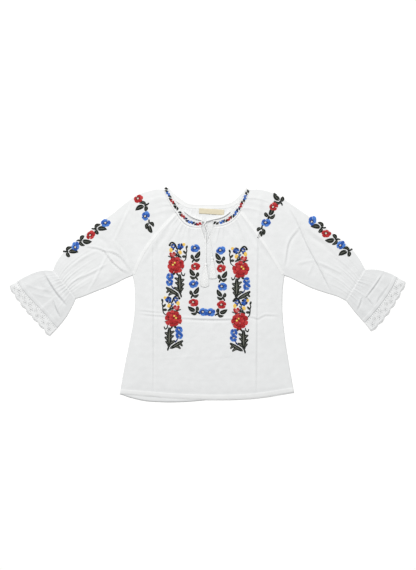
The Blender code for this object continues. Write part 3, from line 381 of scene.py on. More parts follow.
def smooth_line(points, shares):
    """Points at these shares of the length of a smooth curve through the given points."""
    knots = np.array(points, float)
    along = lengths_along(knots)
    slopes = np.gradient(knots, along, axis=0)
    at = np.linspace(0, along[-1], 24 * len(knots))
    low = np.clip(np.searchsorted(along, at, side="right") - 1, 0, len(knots) - 2)
    span = (along[low + 1] - along[low])[:, None]
    t = ((at - along[low]) / span[:, 0])[:, None]
    line = ((2 * t**3 - 3 * t**2 + 1) * knots[low] + (t**3 - 2 * t**2 + t) * span * slopes[low]
            + (3 * t**2 - 2 * t**3) * knots[low + 1] + (t**3 - t**2) * span * slopes[low + 1])
    length = lengths_along(line)
    wanted = np.asarray(shares, float) * length[-1]
    return np.stack([np.interp(wanted, length, line[:, k]) for k in range(knots.shape[1])], axis=1)


def spread(points, count, first=0.0, last=1.0):
    """Evenly spaced points of a smooth curve, between two shares of its length."""
    return smooth_line(points, np.linspace(first, last, count))


def line_length(line):
    return float(np.linalg.norm(np.diff(line, axis=0), axis=1).sum())


def evenly(points, step):
    """A smooth curve through the points, read about every step millimetres."""
    return spread(points, max(3, round(line_length(spread(points, 80)) / step) + 1))


def moved_aside(line, distance):
    """The line moved to its left, as seen when walking along it."""
    run = np.gradient(line, axis=0)
    run /= np.maximum(np.linalg.norm(run, axis=1)[:, None], 1e-9)
    return line + distance * np.stack([-run[:, 1], run[:, 0]], axis=1)


def beside(side, line, distance):
    """The line moved to its left on the wearer's right, and to its right on the wearer's left."""
    return moved_aside(line, distance if side is RIGHT else -distance)


def unit(angles):
    """Unit vectors in plan at these angles."""
    return np.stack([np.cos(angles), np.sin(angles)], axis=-1)


def ray(turn):
    """The unit vector in plan at one angle."""
    return np.array([math.cos(turn), math.sin(turn)])


def full_turn(count):
    return 2 * math.pi * np.arange(count) / count


def left_turn(a, b, c):
    """Above 0 where the way from a over b to c turns left in plan."""
    return (b[:, 0] - a[:, 0]) * (c[:, 1] - a[:, 1]) - (b[:, 1] - a[:, 1]) * (c[:, 0] - a[:, 0])


def hump(distance, width):
    """1 on a line, and smoothly less with the distance from it."""
    return np.exp(-((distance / width) ** 2))


def gather_wave(share, count, seed):
    """The gathers' height from 0 in a valley to about 1 on a crest, for shares across the width."""
    knots = np.linspace(0, 1, 2 * count + 1)
    push = np.array([unevenness(i, seed) for i in range(2 * count + 1)])
    push[0] = push[-1] = 0
    phase = np.interp(share, knots + 0.42 / (2 * count) * push, math.pi * np.arange(2 * count + 1))
    number = np.clip((phase / (2 * math.pi)).astype(int), 0, count - 1)
    height = np.array([0.7 + 0.45 * unevenness(i, seed + 3) for i in range(count)])
    return (0.5 * (1 - np.cos(phase))) ** 1.5 * height[number]


def gathered(share, distance, seam, seed):
    """The gathers of a seam that fade away from it, each with a reach of its own."""
    total = 0
    for count, height, reach, shift in GATHERS[seam]:
        at = (np.arange(count) + 0.5) / count
        own = np.array([reach * (1.1 + 0.9 * unevenness(i, seed + shift + 7)) for i in range(count)])
        left = hump(distance, np.interp(share, at, np.maximum(own, 0.02)))
        total = total + height * gather_wave(share, count, seed + shift) * left
    return total


def gather_window(from_edge, down, least, reach):
    """No gathers at the side edges, and only their least share right at the neck seam."""
    return np.clip(from_edge / PLAIN_EDGE, 0, 1) * (least + (1 - least) * np.clip(down / reach, 0, 1))


def ruffle(share, seed):
    return RUFFLES["height"] * gather_wave(share, RUFFLES["count"], seed + 20)


def coons(first, last, start, end, shares):
    """A grid between four boundary lines, with its columns at these shares of the way from start to end."""
    u = shares[None, :, None]
    t = np.linspace(0, 1, len(start))[:, None, None]
    corners = ((1 - u) * (1 - t) * first[0] + u * (1 - t) * first[-1]
               + (1 - u) * t * last[0] + u * t * last[-1])
    return ((1 - t) * first[None] + t * last[None] + (1 - u) * start[:, None] + u * end[:, None] - corners)


def silhouette():
    """The outline's segments, as their starts and ends."""
    lines = [spread(FRONT_HEM, 40)]
    for _, side, _ in SIDES:
        lines += [spread(side[k], 40) for k in ("shoulder", "underarm", "side", "lace_edge")]
        lines += [spread(side["flounce_top"] + side["lace_edge"][-1:], 40)]
        lines += [spread(side["flounce_bottom"] + side["lace_edge"][:1], 40)]
    return np.concatenate([line[:-1] for line in lines]), np.concatenate([line[1:] for line in lines])


SEGMENTS = silhouette()


def segment_distance(xy, start, end):
    run = end - start
    rel = xy[:, None, :] - start[None]
    share = np.clip((rel * run).sum(-1) / np.maximum((run * run).sum(-1), 1e-9), 0, 1)
    return np.linalg.norm(rel - share[..., None] * run[None], axis=-1), share


def line_distance(xy, line):
    """Distance of points from a line, a few thousand points at a time."""
    flat = xy.reshape(-1, 2)
    parts = [segment_distance(flat[i:i + BATCH], line[:-1], line[1:])[0].min(axis=1)
             for i in range(0, len(flat), BATCH)]
    return np.concatenate(parts).reshape(xy.shape[:-1])


def ripple(xy, wave, seed, stretch=(1.0, 1.0)):
    """A smooth uneven field from about -1 to 1 with this wavelength."""
    x, y = xy[..., 0] / stretch[0], xy[..., 1] / stretch[1]
    total = np.zeros(x.shape)
    for k in range(8):
        turn, size = 2.39996 * k + seed, wave * (0.75 + 0.08 * k)
        total += np.sin(2 * math.pi * (x * math.cos(turn) + y * math.sin(turn)) / size + 1.7 * seed * k + k)
    return total / 3


def laid_along(table):
    """Segments of smooth lines through each row's points, with height, width and shares of the row."""
    segments = []
    for row, (height, width, points) in enumerate(table):
        line = evenly(points, 9.0)
        count = len(line) - 1
        segments += [(*line[i], *line[i + 1], height, width, i / count, 1 / count, row) for i in range(count)]
    return np.array(segments)


FOLD_LINES, PRESSED_LINES = laid_along(FOLDS), laid_along(PRESSED)


def crease_height(xy):
    """Height of the folds and pressed creases, each faded towards its ends."""
    total = np.zeros(len(xy))
    for lines, pressed in ((FOLD_LINES, False), (PRESSED_LINES, True)):
        away, share = segment_distance(xy, lines[:, 0:2], lines[:, 2:4])
        starts = np.flatnonzero(np.diff(lines[:, 8], prepend=-1))
        for start, stop in zip(starts, list(starts[1:]) + [len(lines)]):
            nearest = start + away[:, start:stop].argmin(axis=1)
            every = np.arange(len(xy))
            row = lines[nearest]
            along = row[:, 6] + row[:, 7] * share[every, nearest]
            size = away[every, nearest] / row[:, 5]
            shape = np.exp(-(size**2))
            if pressed:
                run, rel = row[:, 2:4] - row[:, 0:2], xy - row[:, 0:2]
                shape *= 2.33 * size * np.sign(run[:, 0] * rel[:, 1] - run[:, 1] * rel[:, 0])
            total += row[:, 4] * shape * (0.25 + 0.75 * np.sin(math.pi * np.clip(along, 0.02, 0.98)) ** 0.5)
    return total


def front_top(xy, gathers=0.0):
    """Height of the front layer's face over the floor."""
    flat = np.asarray(xy, float).reshape(-1, 2)
    extra = np.ravel(gathers * np.ones(np.shape(xy)[:-1]))
    height = np.empty(len(flat))
    for i in range(0, len(flat), BATCH):
        part = flat[i:i + BATCH]
        away = segment_distance(part, *SEGMENTS)[0].min(axis=1)
        inside = 1 - np.exp(-((away / LOFT_REACH) ** 2))
        slow = np.sin(part[:, 0] / 33 + 1.3) * np.sin(part[:, 1] / 27 + 0.6)
        fine = 0.10 * ripple(part, 17, 3) + 0.12 * ripple(part, 34, 5, (0.7, 2.6))
        height[i:i + BATCH] = EDGE_LIFT + inside * (
            LOFT + UNDULATION * slow + crease_height(part) + fine + extra[i:i + BATCH])
    return np.maximum(height, EDGE_LIFT).reshape(np.shape(xy)[:-1]) + CLOTH


def rolled(distance):
    """From 0 at a folded edge to 1 where the cloth lies level, as a quarter circle."""
    return np.sqrt(np.clip(1 - (1 - np.clip(distance / FOLD_RADIUS, 0, 1)) ** 2, 0, 1))


def hem_rise(distance, width):
    return HEM_RISE * np.clip((width + 0.6 - distance) / 1.2, 0, 1)


def grid_faces(rows, columns, closed=False):
    """Quads of a grid, which face up where rows run towards -Y and columns towards +X."""
    faces = []
    for i in range(rows - 1):
        for j in range(columns if closed else columns - 1):
            k = (j + 1) % columns
            faces.append((i * columns + j, (i + 1) * columns + j, (i + 1) * columns + k, i * columns + k))
    return faces


def tube_faces(rows, around):
    """Faces of a tube of rings that is closed at both ends."""
    last = (rows - 1) * around
    ends = [tuple(reversed(range(around))), tuple(range(last, last + around))]
    return grid_faces(rows, around, closed=True) + ends


def flipped(faces):
    return [face[::-1] for face in faces]


def mesh_piece(name, points, faces, finish, smooth=True):
    """A piece of the scene from points in millimetres."""
    mesh = bpy.data.meshes.new(name)
    mesh.from_pydata((np.asarray(points, float) * MM).tolist(), [], faces)
    mesh.materials.append(finish)
    if smooth:
        mesh.shade_smooth()
    made = bpy.data.objects.new(name, mesh)
    bpy.context.scene.collection.objects.link(made)
    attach(made, "root")
    return made


def thicken(piece, wall):
    made = piece.modifiers.new("wall", "SOLIDIFY")
    made.thickness = wall * MM
    made.offset = -1
    made.use_even_offset = False
    return piece


# Materials


def link(tree, source, target):
    tree.links.new(source, target)


def new_material(name, colour, roughness, sheen, specular=0.25):
    made = bpy.data.materials.new(name)
    made.use_nodes = True
    shader = made.node_tree.nodes["Principled BSDF"]
    shader.inputs["Base Color"].default_value = (*colour, 1)
    shader.inputs["Roughness"].default_value = roughness
    shader.inputs["Sheen Weight"].default_value = sheen
    shader.inputs["Specular IOR Level"].default_value = specular
    return made


def noise_node(tree, place, scale, detail=3):
    """Noise over the piece, with its own scale along each axis."""
    mapping = tree.nodes.new("ShaderNodeMapping")
    mapping.inputs["Scale"].default_value = scale
    link(tree, place, mapping.inputs["Vector"])
    noise = tree.nodes.new("ShaderNodeTexNoise")
    noise.inputs["Scale"].default_value = 1
    noise.inputs["Detail"].default_value = detail
    link(tree, mapping.outputs["Vector"], noise.inputs["Vector"])
    return noise.outputs["Fac"]


def weave_node(tree, place, direction, scale):
    wave = tree.nodes.new("ShaderNodeTexWave")
    wave.bands_direction = direction
    wave.inputs["Distortion"].default_value = 0.6
    wave.inputs["Scale"].default_value = scale
    link(tree, place, wave.inputs["Vector"])
    return wave.outputs["Fac"]


def textured(made, colour, shade, blotch, roughness, bumps):
    """The material with uneven colour and roughness, and with bumps."""
    tree = made.node_tree
    shader = tree.nodes["Principled BSDF"]
    place = tree.nodes.new("ShaderNodeTexCoord").outputs["Object"]
    blotches = noise_node(tree, place, (blotch, blotch, blotch), 4)
    ramp = tree.nodes.new("ShaderNodeValToRGB")
    ramp.color_ramp.elements[0].position = 0.35
    ramp.color_ramp.elements[1].position = 0.65
    ramp.color_ramp.elements[0].color = (*shade, 1)
    ramp.color_ramp.elements[1].color = (*colour, 1)
    link(tree, blotches, ramp.inputs["Fac"])
    link(tree, ramp.outputs["Color"], shader.inputs["Base Color"])
    varied = tree.nodes.new("ShaderNodeMapRange")
    varied.inputs["To Min"].default_value = roughness[0]
    varied.inputs["To Max"].default_value = roughness[1]
    link(tree, blotches, varied.inputs["Value"])
    link(tree, varied.outputs["Result"], shader.inputs["Roughness"])
    normal = None
    for kind, scale, strength, distance in bumps:
        source = noise_node(tree, place, scale) if kind == "noise" else weave_node(tree, place, kind, scale)
        bump = tree.nodes.new("ShaderNodeBump")
        bump.inputs["Strength"].default_value = strength
        bump.inputs["Distance"].default_value = distance * MM
        link(tree, source, bump.inputs["Height"])
        if normal:
            link(tree, normal, bump.inputs["Normal"])
        normal = bump.outputs["Normal"]
    link(tree, normal, shader.inputs["Normal"])
    return made


def woven(kind, name, colour):
    """A material of one of the finishes, in this colour."""
    roughness, sheen, specular, shade, blotch, limits, bumps = FINISHES[kind]
    made = new_material(name, colour, roughness, sheen, specular)
    return textured(made, colour, tuple(shade * c for c in colour), blotch, limits, bumps)


cotton = woven("cotton", "white_cotton_voile", COTTON)
double_cotton = woven("cotton", "white_cotton_double", DOUBLE_COTTON)
# The flounces' cotton is the voile with painted shade, darker than the body's cotton
flounce_cotton_painted_shade = woven("cotton", "white_cotton_flounce_painted_shade", FLOUNCE_COTTON_PAINTED_SHADE)
lace_cotton = woven("lace", "white_cotton_lace", LACE_WHITE)
cream_tape = woven("tape", "cream_woven_tape", CREAM_TAPE)
cord_cotton = woven("cord", "white_cotton_cord", CORD_WHITE)
floss = {name: woven("thread", "thread_" + name, colour) for name, colour in THREADS.items()}


# Panels

surfaces = []  # what the embroidery and stitching lie on, as (points, faces)


def keep_surface(points, faces):
    surfaces.append((np.asarray(points, float), faces))


def neck_split(side):
    """Share of the neck line at which the raglan seam meets it."""
    line = spread(side["neck_outer"], 400)
    return float(np.linalg.norm(line - np.array(side["raglan_front"][-1]), axis=1).argmin() / 399)


def slit_line(side, count, first=0.0, last=1.0):
    return spread(side["slit"][:-1] + [SLIT_FOOT], count, first, last)


def wrist(side, shares):
    """Points across the wrist, from the underarm to the shoulder line."""
    foot, top = np.array(side["underarm"][-1]), np.array(side["shoulder"][-1])
    return foot + shares[:, None] * (top - foot)


def outer_edge(side, raglan, rows, armpit_row):
    """A panel's edge along its raglan seam and then its side seam."""
    return np.concatenate([spread(side[raglan], armpit_row + 1, 1, 0),
                           spread(side["side"], rows - armpit_row + 1)[1:]])


def half_front(side, shares, rows, slit_row, armpit_row):
    """Plan grid of one half of the front, from its raglan and side seam to the slit and the centre line."""
    split = neck_split(side)
    neck = beside(side, smooth_line(side["neck_outer"], split + (1 - split) * shares), -SEAM_GAP / 2)
    outer = outer_edge(side, "raglan_front", rows, armpit_row)
    outer[0] = neck[0]
    slit = spread([tuple(neck[-1])] + side["slit"][1:-1] + [SLIT_FOOT], slit_row + 1)
    foot, hem_middle = np.array(SLIT_FOOT), smooth_line(FRONT_HEM, [0.5])[0]
    fall = np.linspace(0, 1, rows - slit_row + 1)[1:, None] ** 1.25
    centre = np.concatenate([slit, foot + fall * (hem_middle - foot)])
    hem = smooth_line(FRONT_HEM, shares / 2 if side is RIGHT else 1 - shares / 2)
    return coons(neck, hem, outer, centre, shares)


def make_front():
    """The front panel: two halves that join below the slit."""
    rows, columns, slit_row, armpit_row = 220, 92, 30, 100
    shares = np.linspace(0, 1, columns + 1)
    share, down = np.meshgrid(shares, np.linspace(0, 1, rows + 1))
    window = gather_window(share, down, 0.25, 0.02)
    hem = spread(FRONT_HEM, 60)
    halves = []
    for _, side, seed in SIDES:
        grid = half_front(side, shares, rows, slit_row, armpit_row)
        from_hem = line_distance(grid, hem)
        top = front_top(grid, window * gathered(share, down, "front", seed)) + hem_rise(from_hem, BODY_HEM)
        from_slit = np.abs(line_distance(grid, slit_line(side, 20)) - SLIT_EDGE["middle"])
        top = top + SLIT_EDGE["rise"] * np.clip(SLIT_EDGE["half"] - from_slit, 0, 1)
        from_side = line_distance(grid, spread(side["side"], 60))
        edge = rolled(np.minimum(from_side, HEM_ROLL * from_hem))
        top = edge * top + (1 - edge) * (CLOTH + FRONT_EDGE)
        halves.append(np.dstack([grid, top]).reshape(-1, 3))
    width = columns + 1
    other = (rows + 1) * width
    joined = {other + i * width + columns: i * width + columns for i in range(slit_row, rows + 1)}
    left = [tuple(joined.get(v + other, v + other) for v in face) for face in grid_faces(rows + 1, width)]
    faces = grid_faces(rows + 1, width) + flipped(left)
    used = sorted({v for face in faces for v in face})
    number = {v: i for i, v in enumerate(used)}
    points, faces = np.concatenate(halves)[used], [tuple(number[v] for v in face) for face in faces]
    keep_surface(points, faces)
    return thicken(mesh_piece("front_panel", points, faces, cotton), SHEET)


def lifted_to_ties(grid, top):
    """The inside of the back, raised to just under the ties where they cross the neck opening."""
    for tie in TIES.values():
        lead = evenly(tie["lead"], 4.0)
        away, share = segment_distance(grid.reshape(-1, 2), lead[:-1, :2], lead[1:, :2])
        nearest = away.argmin(axis=1)
        part = share[np.arange(len(away)), nearest]
        cord = lead[nearest, 2] + part * (lead[nearest + 1, 2] - lead[nearest, 2])
        under = np.minimum(cord - CORD_DIAMETER / 2 - UNDER_TIE["gap"], UNDER_TIE["highest"])
        near = hump(away.min(axis=1), UNDER_TIE["reach"]).reshape(top.shape)
        top = top + near * (under.reshape(top.shape) - top)
    return top


def make_back():
    """The back panel, which shows inside the neck, through the slit and below the front's hem."""
    rows, columns, armpit_row = 176, 130, 80
    shares = np.linspace(0, 1, columns + 1)
    neck = moved_aside(smooth_line(BACK_NECK_LOW, shares), -SEAM_GAP / 2)
    edges = [outer_edge(side, "raglan_back", rows, armpit_row) for _, side, _ in SIDES]
    edges[0][0], edges[1][0] = neck[0], neck[-1]
    grid = coons(neck, smooth_line(BACK_HEM, shares), edges[0], edges[1], shares)
    share, down = np.meshgrid(shares, np.linspace(0, 1, rows + 1))
    window = gather_window(np.minimum(share, 1 - share), down, 0.3, 0.012)
    from_hem = line_distance(grid, spread(BACK_HEM, 60))
    top = CLOTH + window * gathered(share, down, "back", 0) + 0.7 * hem_rise(from_hem, BODY_HEM)
    top = lifted_to_ties(grid, top)
    rel = (grid - np.array(BEHIND_SLIT["centre"])) / np.array(BEHIND_SLIT["reach"])
    top = top - BEHIND_SLIT["depth"] * np.exp(-(rel ** 2).sum(axis=-1))
    crease = line_distance(grid, spread(SLIT_CREASE["line"], 20))
    top = top + SLIT_CREASE["height"] * hump(crease, SLIT_CREASE["width"])
    lowest = SHEET + FLOOR_GAP
    top = lowest + rolled(HEM_ROLL * from_hem) * (top - lowest)
    points = np.dstack([grid, top]).reshape(-1, 3)
    faces = grid_faces(rows + 1, columns + 1)
    return thicken(mesh_piece("back_panel", points, faces, cotton), SHEET)


def head_line(side, layer, shares):
    """The head of a sleeve in plan: along the raglan seam, then along the neck to the shoulder."""
    raglan_shares = shares[shares <= RAGLAN_SHARE + 1e-9] / RAGLAN_SHARE
    neck_shares = (shares[shares > RAGLAN_SHARE + 1e-9] - RAGLAN_SHARE) / (1 - RAGLAN_SHARE)
    if layer == "front":
        raglan = smooth_line(side["raglan_front"], raglan_shares)
        neck = smooth_line(side["neck_outer"], neck_split(side) * (1 - neck_shares))
    else:
        raglan = smooth_line(side["raglan_back"], raglan_shares)
        neck = smooth_line(side["neck_back_low"], neck_shares)
    return np.concatenate([raglan, neck])


def sleeve_plan(side, layer, shares, rows):
    first = head_line(side, layer, shares)
    start, end = spread(side["underarm"], rows + 1), spread(side["shoulder"], rows + 1)
    start[0], end[0] = first[0], first[-1]
    return coons(first, wrist(side, shares), start, end, shares)


def flounce_plan(side, layer, shares, rows):
    """The same for both layers, which lie on each other."""
    start, end = spread(side["flounce_bottom"], rows + 1), spread(side["flounce_top"], rows + 1)
    return coons(wrist(side, shares), smooth_line(side["flounce_hem"], shares), start, end, shares)


def sleeve_folds(share, along, seed):
    over_neck = np.clip((share - RAGLAN_SHARE) / (1 - RAGLAN_SHARE), 0, 1)
    return gathered(over_neck, along, "head", seed) + gathered(share, 1 - along, "wrist", seed)


def flounce_folds(share, along, seed):
    return gathered(share, along, "flounce", seed) + ruffle(share, seed) * along


def from_edges(layer, upper):
    """Distance of a tube's points from its nearer side edge."""
    return np.minimum(np.linalg.norm(layer - upper[:, :1], axis=-1),
                      np.linalg.norm(layer - upper[:, -1:], axis=-1))


def make_tube(name, plan, folds, side, seed, rows, columns, pinch, hem=None, finish=cotton):
    """A flattened tube of cloth: the front layer across, a rolled edge, and the back layer across."""
    near = np.array(TUBE_EDGE)
    front = np.concatenate([near, np.linspace(0.04, 0.96, columns), 1 - near[::-1]])
    back = np.concatenate([1 - near[1:], np.linspace(0.95, 0.05, columns // 3), near[:0:-1]])
    upper = plan(side, "front", front, rows)
    lower = plan(side, "back", np.sort(back), rows)[:, ::-1]
    share, along = np.meshgrid(front, np.linspace(0, 1, rows + 1))
    top = front_top(upper, folds(share, along, seed))
    if hem is not None:
        away = line_distance(upper, hem)
        top = top + hem_rise(away, FLOUNCE_HEM) * np.clip(away / 1.5, 0.15, 1)
    top = top - PINCH["depth"] * hump(along - pinch, PINCH["reach"])
    middle = (CLOTH + EDGE_LIFT) / 2
    top = middle + (top - middle) * rolled(from_edges(upper, upper))
    low = middle * (1 - rolled(from_edges(lower, upper)))
    ring = np.concatenate([np.dstack([upper, top]), np.dstack([lower, low])], axis=1)
    count = ring.shape[1]
    faces = grid_faces(rows + 1, count, closed=True)
    if side is RIGHT:
        faces = flipped(faces)
    points = ring.reshape(-1, 3)
    shown = [face for face in faces if max(v % count for v in face) < len(front)
             and min(v % count for v in face) < len(front) - 1]
    keep_surface(points, shown)
    return thicken(mesh_piece(name, points, faces, finish), SHEET)


# Lace


def scalloped(side, shares):
    """The lace's outer edge in plan at these shares of its length, with small picots on the scallops."""
    line = smooth_line(side["lace_edge"], shares)
    count = round(line_length(spread(side["lace_edge"], 60)) / SCALLOP_PITCH)
    ends = np.clip(np.minimum(shares, 1 - shares) / 0.02, 0, 1)
    bulge = SCALLOP_DEPTH * (np.abs(np.sin(math.pi * count * shares)) - 0.55)
    bulge = bulge + PICOT * np.abs(np.sin(math.pi * 8 * count * shares))
    return beside(side, line, (bulge * ends)[:, None]), count


def across_lace(side, shares, depth):
    """Plan points at this share of the way from the flounce's hem to the lace's edge."""
    hem, edge = smooth_line(side["flounce_hem"], shares), smooth_line(side["lace_edge"], shares)
    return hem + depth * (edge - hem)


def lace_holes(side, count, shift):
    """Holes as (share across, centre, radius): rows of eyelets with smaller holes round them."""
    found = []
    rows = (((np.arange(count) + 0.5) / count, OUTER_EYELETS), (np.arange(1, count) / count, INNER_EYELETS))
    for shares, eyelet in rows:
        shares = (shares + shift) % 1
        for share, centre in zip(shares, across_lace(side, shares, eyelet["depth"])):
            found.append((share, centre, eyelet["radius"]))
            for k in range(PINHOLES["count"]):
                turn = 2 * math.pi * k / PINHOLES["count"] + PINHOLES["turn"]
                found.append((share, centre + PINHOLES["away"] * ray(turn), PINHOLES["radius"]))
    shares = np.linspace(0, 1, 4 * count + 1)[1:-1]
    found += [(share, centre, HEM_HOLES["radius"])
              for share, centre in zip(shares, across_lace(side, shares, HEM_HOLES["depth"]))]
    kept = []
    for hole in found:
        clear = all(np.linalg.norm(hole[1] - other[1]) > hole[2] + other[2] + HOLE_GAP for other in kept)
        if clear and PLAIN_LACE < hole[0] < 1 - PLAIN_LACE:
            kept.append(hole)
    return kept


def inside_outline(points, outline):
    x, y = points[:, :1], points[:, 1:]
    x0, y0 = outline[:, 0][None], outline[:, 1][None]
    x1, y1 = np.roll(outline[:, 0], -1)[None], np.roll(outline[:, 1], -1)[None]
    crosses = ((y0 > y) != (y1 > y)) & (x < x0 + (y - y0) * (x1 - x0) / np.where(y1 == y0, 1e-9, y1 - y0))
    return crosses.sum(axis=1) % 2 == 1


def lace_mesh(side, shift):
    """Plan points and faces of a strip of lace, with its holes and its outer edge."""
    shares = np.linspace(0, 1, 220)
    outer, count = scalloped(side, shares)
    inner = beside(side, spread(side["flounce_hem"], 60, 1, 0), UNDER_HEM)
    outline = np.concatenate([outer, inner])
    points, loops = list(outline), [list(range(len(outline)))]
    holes = lace_holes(side, count, shift / count)
    for _, centre, radius in holes:
        sides = 12 if radius > LEAST_EYELET else 8
        loops.append(list(range(len(points), len(points) + sides)))
        points += list(centre + radius * unit(full_turn(sides)))
    spots = np.concatenate([across_lace(side, shares[::3], depth) for depth in np.linspace(0.08, 0.9, 10)])
    centres, radii = np.array([hole[1] for hole in holes]), np.array([hole[2] for hole in holes])

    def outside_holes(places, share):
        return (np.linalg.norm(places[:, None] - centres[None], axis=-1) - share * radii[None]).min(axis=1)

    spots = spots[(outside_holes(spots, 1.0) > 0.6) & (line_distance(spots, outline) > 0.8)]
    edges = [(a, b) for loop in loops for a, b in zip(loop, loop[1:] + loop[:1])]
    found = delaunay_2d_cdt([tuple(p) for p in points + list(spots)], edges, [], 1, 1e-6)
    xy = np.array([tuple(p) for p in found[0]])
    faces = np.array([face for face in found[2]])
    middle = xy[faces].mean(axis=1)
    faces = faces[(outside_holes(middle, 0.92) > 0) & inside_outline(middle, outline)]
    turned = left_turn(*(xy[faces[:, k]] for k in range(3))) < 0
    faces[turned] = faces[turned][:, ::-1]
    return xy, [tuple(int(v) for v in face) for face in faces], holes, outer


def lace_height(side, xy, seed):
    """The lace's front layer follows the ruffles of the flounce and dips under its hem."""
    hem = spread(side["flounce_hem"], 200)
    away = np.linalg.norm(xy[:, None] - hem[None], axis=-1)
    dip = 0.5 * hump(away.min(axis=1), 2.0)
    return front_top(xy, ruffle(away.argmin(axis=1) / 199, seed)) - CLOTH + LACE_TOP - dip


def rings_round(line, radius, turns):
    """Rings of points round a line of 3-D points."""
    run = np.gradient(line, axis=0)
    run /= np.linalg.norm(run, axis=1)[:, None]
    aside = np.cross(run, [0.0, 0.0, 1.0])
    aside /= np.maximum(np.linalg.norm(aside, axis=1)[:, None], 1e-9)
    up = np.cross(aside, run)
    return (line[:, None] + (radius * np.cos(turns))[..., None] * aside[:, None]
            + (radius * np.sin(turns))[..., None] * up[:, None])


def tube_points(line, radius, sides=6):
    """Points and faces of a thin tube along a line of 3-D points."""
    rings = rings_round(line, radius, full_turn(sides))
    return rings.reshape(-1, 3), flipped(grid_faces(len(line), sides, closed=True))


def join_parts(parts):
    points, faces, start = [], [], 0
    for part_points, part_faces in parts:
        points.append(np.asarray(part_points, float))
        faces += [tuple(v + start for v in face) for face in part_faces]
        start += len(part_points)
    return np.concatenate(points), faces


def make_lace(key, side, seed):
    """The front and back strips of a cuff's lace, each with its corded edge and worked eyelets."""
    made = {}
    for layer, shift in (("front", 0.0), ("back", 0.25)):
        xy, faces, holes, outer = lace_mesh(side, shift)

        def raised(spots, lift=0.0):
            """Plan points with the height of the lace there."""
            height = lace_height(side, spots, seed) if layer == "front" else np.full(len(spots), LACE_TOP)
            return np.column_stack([spots, height + lift])

        strip = thicken(mesh_piece(f"lace_{key}_{layer}", raised(xy), faces, lace_cotton), LACE_WALL)
        parts = [tube_points(raised(outer), EDGE_CORD)]
        for _, centre, radius in holes:
            eyelet = radius > LEAST_EYELET
            ring = centre + (radius + 0.2) * unit(np.linspace(0, 2 * math.pi, 13 if eyelet else 9))
            parts.append(tube_points(raised(ring, 0.05), 0.26 if eyelet else 0.2, 5))
            for turn in BAR_TURNS if eyelet else ():
                bar = centre + np.array([[-1.0], [0.0], [1.0]]) * (radius + 0.1) * ray(turn)
                parts.append(tube_points(raised(bar), 0.15, 4))
        inner = beside(side, outer, -INNER_CORD["aside"])
        parts.append(tube_points(raised(inner, 0.05), INNER_CORD["radius"], 5))
        points, cord_faces = join_parts(parts)
        cord = mesh_piece(f"lace_{key}_{layer}_cord", points, cord_faces, lace_cotton)
        made[layer] = (strip, cord)
    return made


# Neck


def profile_strip(name, lower, upper, base, profile, finish):
    """A closed strip between two plan lines, with a profile of (share across, height)."""
    rings = np.stack([np.column_stack([lower + share * (upper - lower), base + height])
                      for share, height in profile], axis=1)
    return mesh_piece(name, rings.reshape(-1, 3), tube_faces(*rings.shape[:2]), finish), rings


def make_front_binding(key, side):
    """A binding with a raised edge cord on both sides and a flat middle."""
    shares = np.linspace(0, 1, 110)
    outer, inner = smooth_line(side["neck_outer"], shares), smooth_line(side["neck_inner"], shares)
    base = front_top((outer + inner) / 2) - CLOTH + 0.35
    wrinkle = 0.10 * np.sin(shares * 120) + 0.12 * np.sin(shares * 47 + 1)
    piece, rings = profile_strip(f"binding_front_{key}", outer, inner, base + wrinkle, FRONT_BAND,
                                 double_cotton)
    top = rings[:, 1:-1]
    keep_surface(top.reshape(-1, 3), grid_faces(*top.shape[:2]))
    return piece, (outer + inner) / 2


def make_back_binding():
    low = list(reversed(RIGHT["neck_back_low"])) + BACK_NECK_LOW[1:-1] + list(LEFT["neck_back_low"])
    lower, upper = spread(low, 120), spread(BACK_NECK, 120)
    profile = [(share, part * BACK_BAND_RISE) for share, part in BACK_BAND]
    return profile_strip("binding_back", lower, upper, np.full(len(lower), 0.01), profile,
                         double_cotton)[0]


def make_label():
    turn = math.radians(LABEL["turn"])
    across, up = ray(turn), np.array([-math.sin(turn), math.cos(turn)])
    width, length = LABEL["size"]
    columns, rows = 44, 12
    u, v = np.meshgrid(np.linspace(-0.5, 0.5, columns + 1), np.linspace(0.5, -0.5, rows + 1))
    xy = np.array(LABEL["centre"]) + width * u[..., None] * across + length * v[..., None] * up
    ends = np.clip((0.5 - np.abs(u)) * width / 2.5, 0, 1)
    sides = np.clip((0.5 - np.abs(v)) * length / 0.8, 0, 1)
    z = (LABEL["under"] + LABEL["wall"] / 2 + 0.25 * (1 - ends) * sides + 0.18 * np.sin(9 * u + 1)
         + 0.45 * (sides - 1))
    points = np.dstack([xy, z]).reshape(-1, 3)
    faces = grid_faces(rows + 1, columns + 1)
    return thicken(mesh_piece("label_bare", points, faces, cream_tape), 0.5)


# Ties and tassels


def tie_route(tie):
    top, foot = np.array(TWIST["top"]), np.array(TWIST["foot"])
    twist = []
    for share in np.linspace(0, 1, 9):
        angle = tie["side"] + 2 * math.pi * share
        middle = top + share * (foot - top)
        twist.append((middle[0] + TWIST["radius"] * math.cos(angle), middle[1],
                      TWIST["z"] + TWIST["radius"] * math.sin(angle)))
    return tie["lead"] + twist + tie["fall"]


def make_tie(key, tie):
    """A cord of twisted strands along the tie's route."""
    line = evenly(tie_route(tie), 0.9)
    sides = 18
    turns = full_turn(sides)
    twist = turns[None] + 2 * math.pi * lengths_along(line)[:, None] / (CORD_STRANDS * CORD_LAY)
    lobes = np.abs(np.cos(CORD_STRANDS * (turns[None] - twist + turns[None]) / 2))
    rings = rings_round(line, CORD_DIAMETER / 2 * (0.80 + 0.20 * lobes), turns)
    faces = flipped(tube_faces(len(line), sides))
    return mesh_piece(f"cord_{key}", rings.reshape(-1, 3), faces, cord_cotton), line


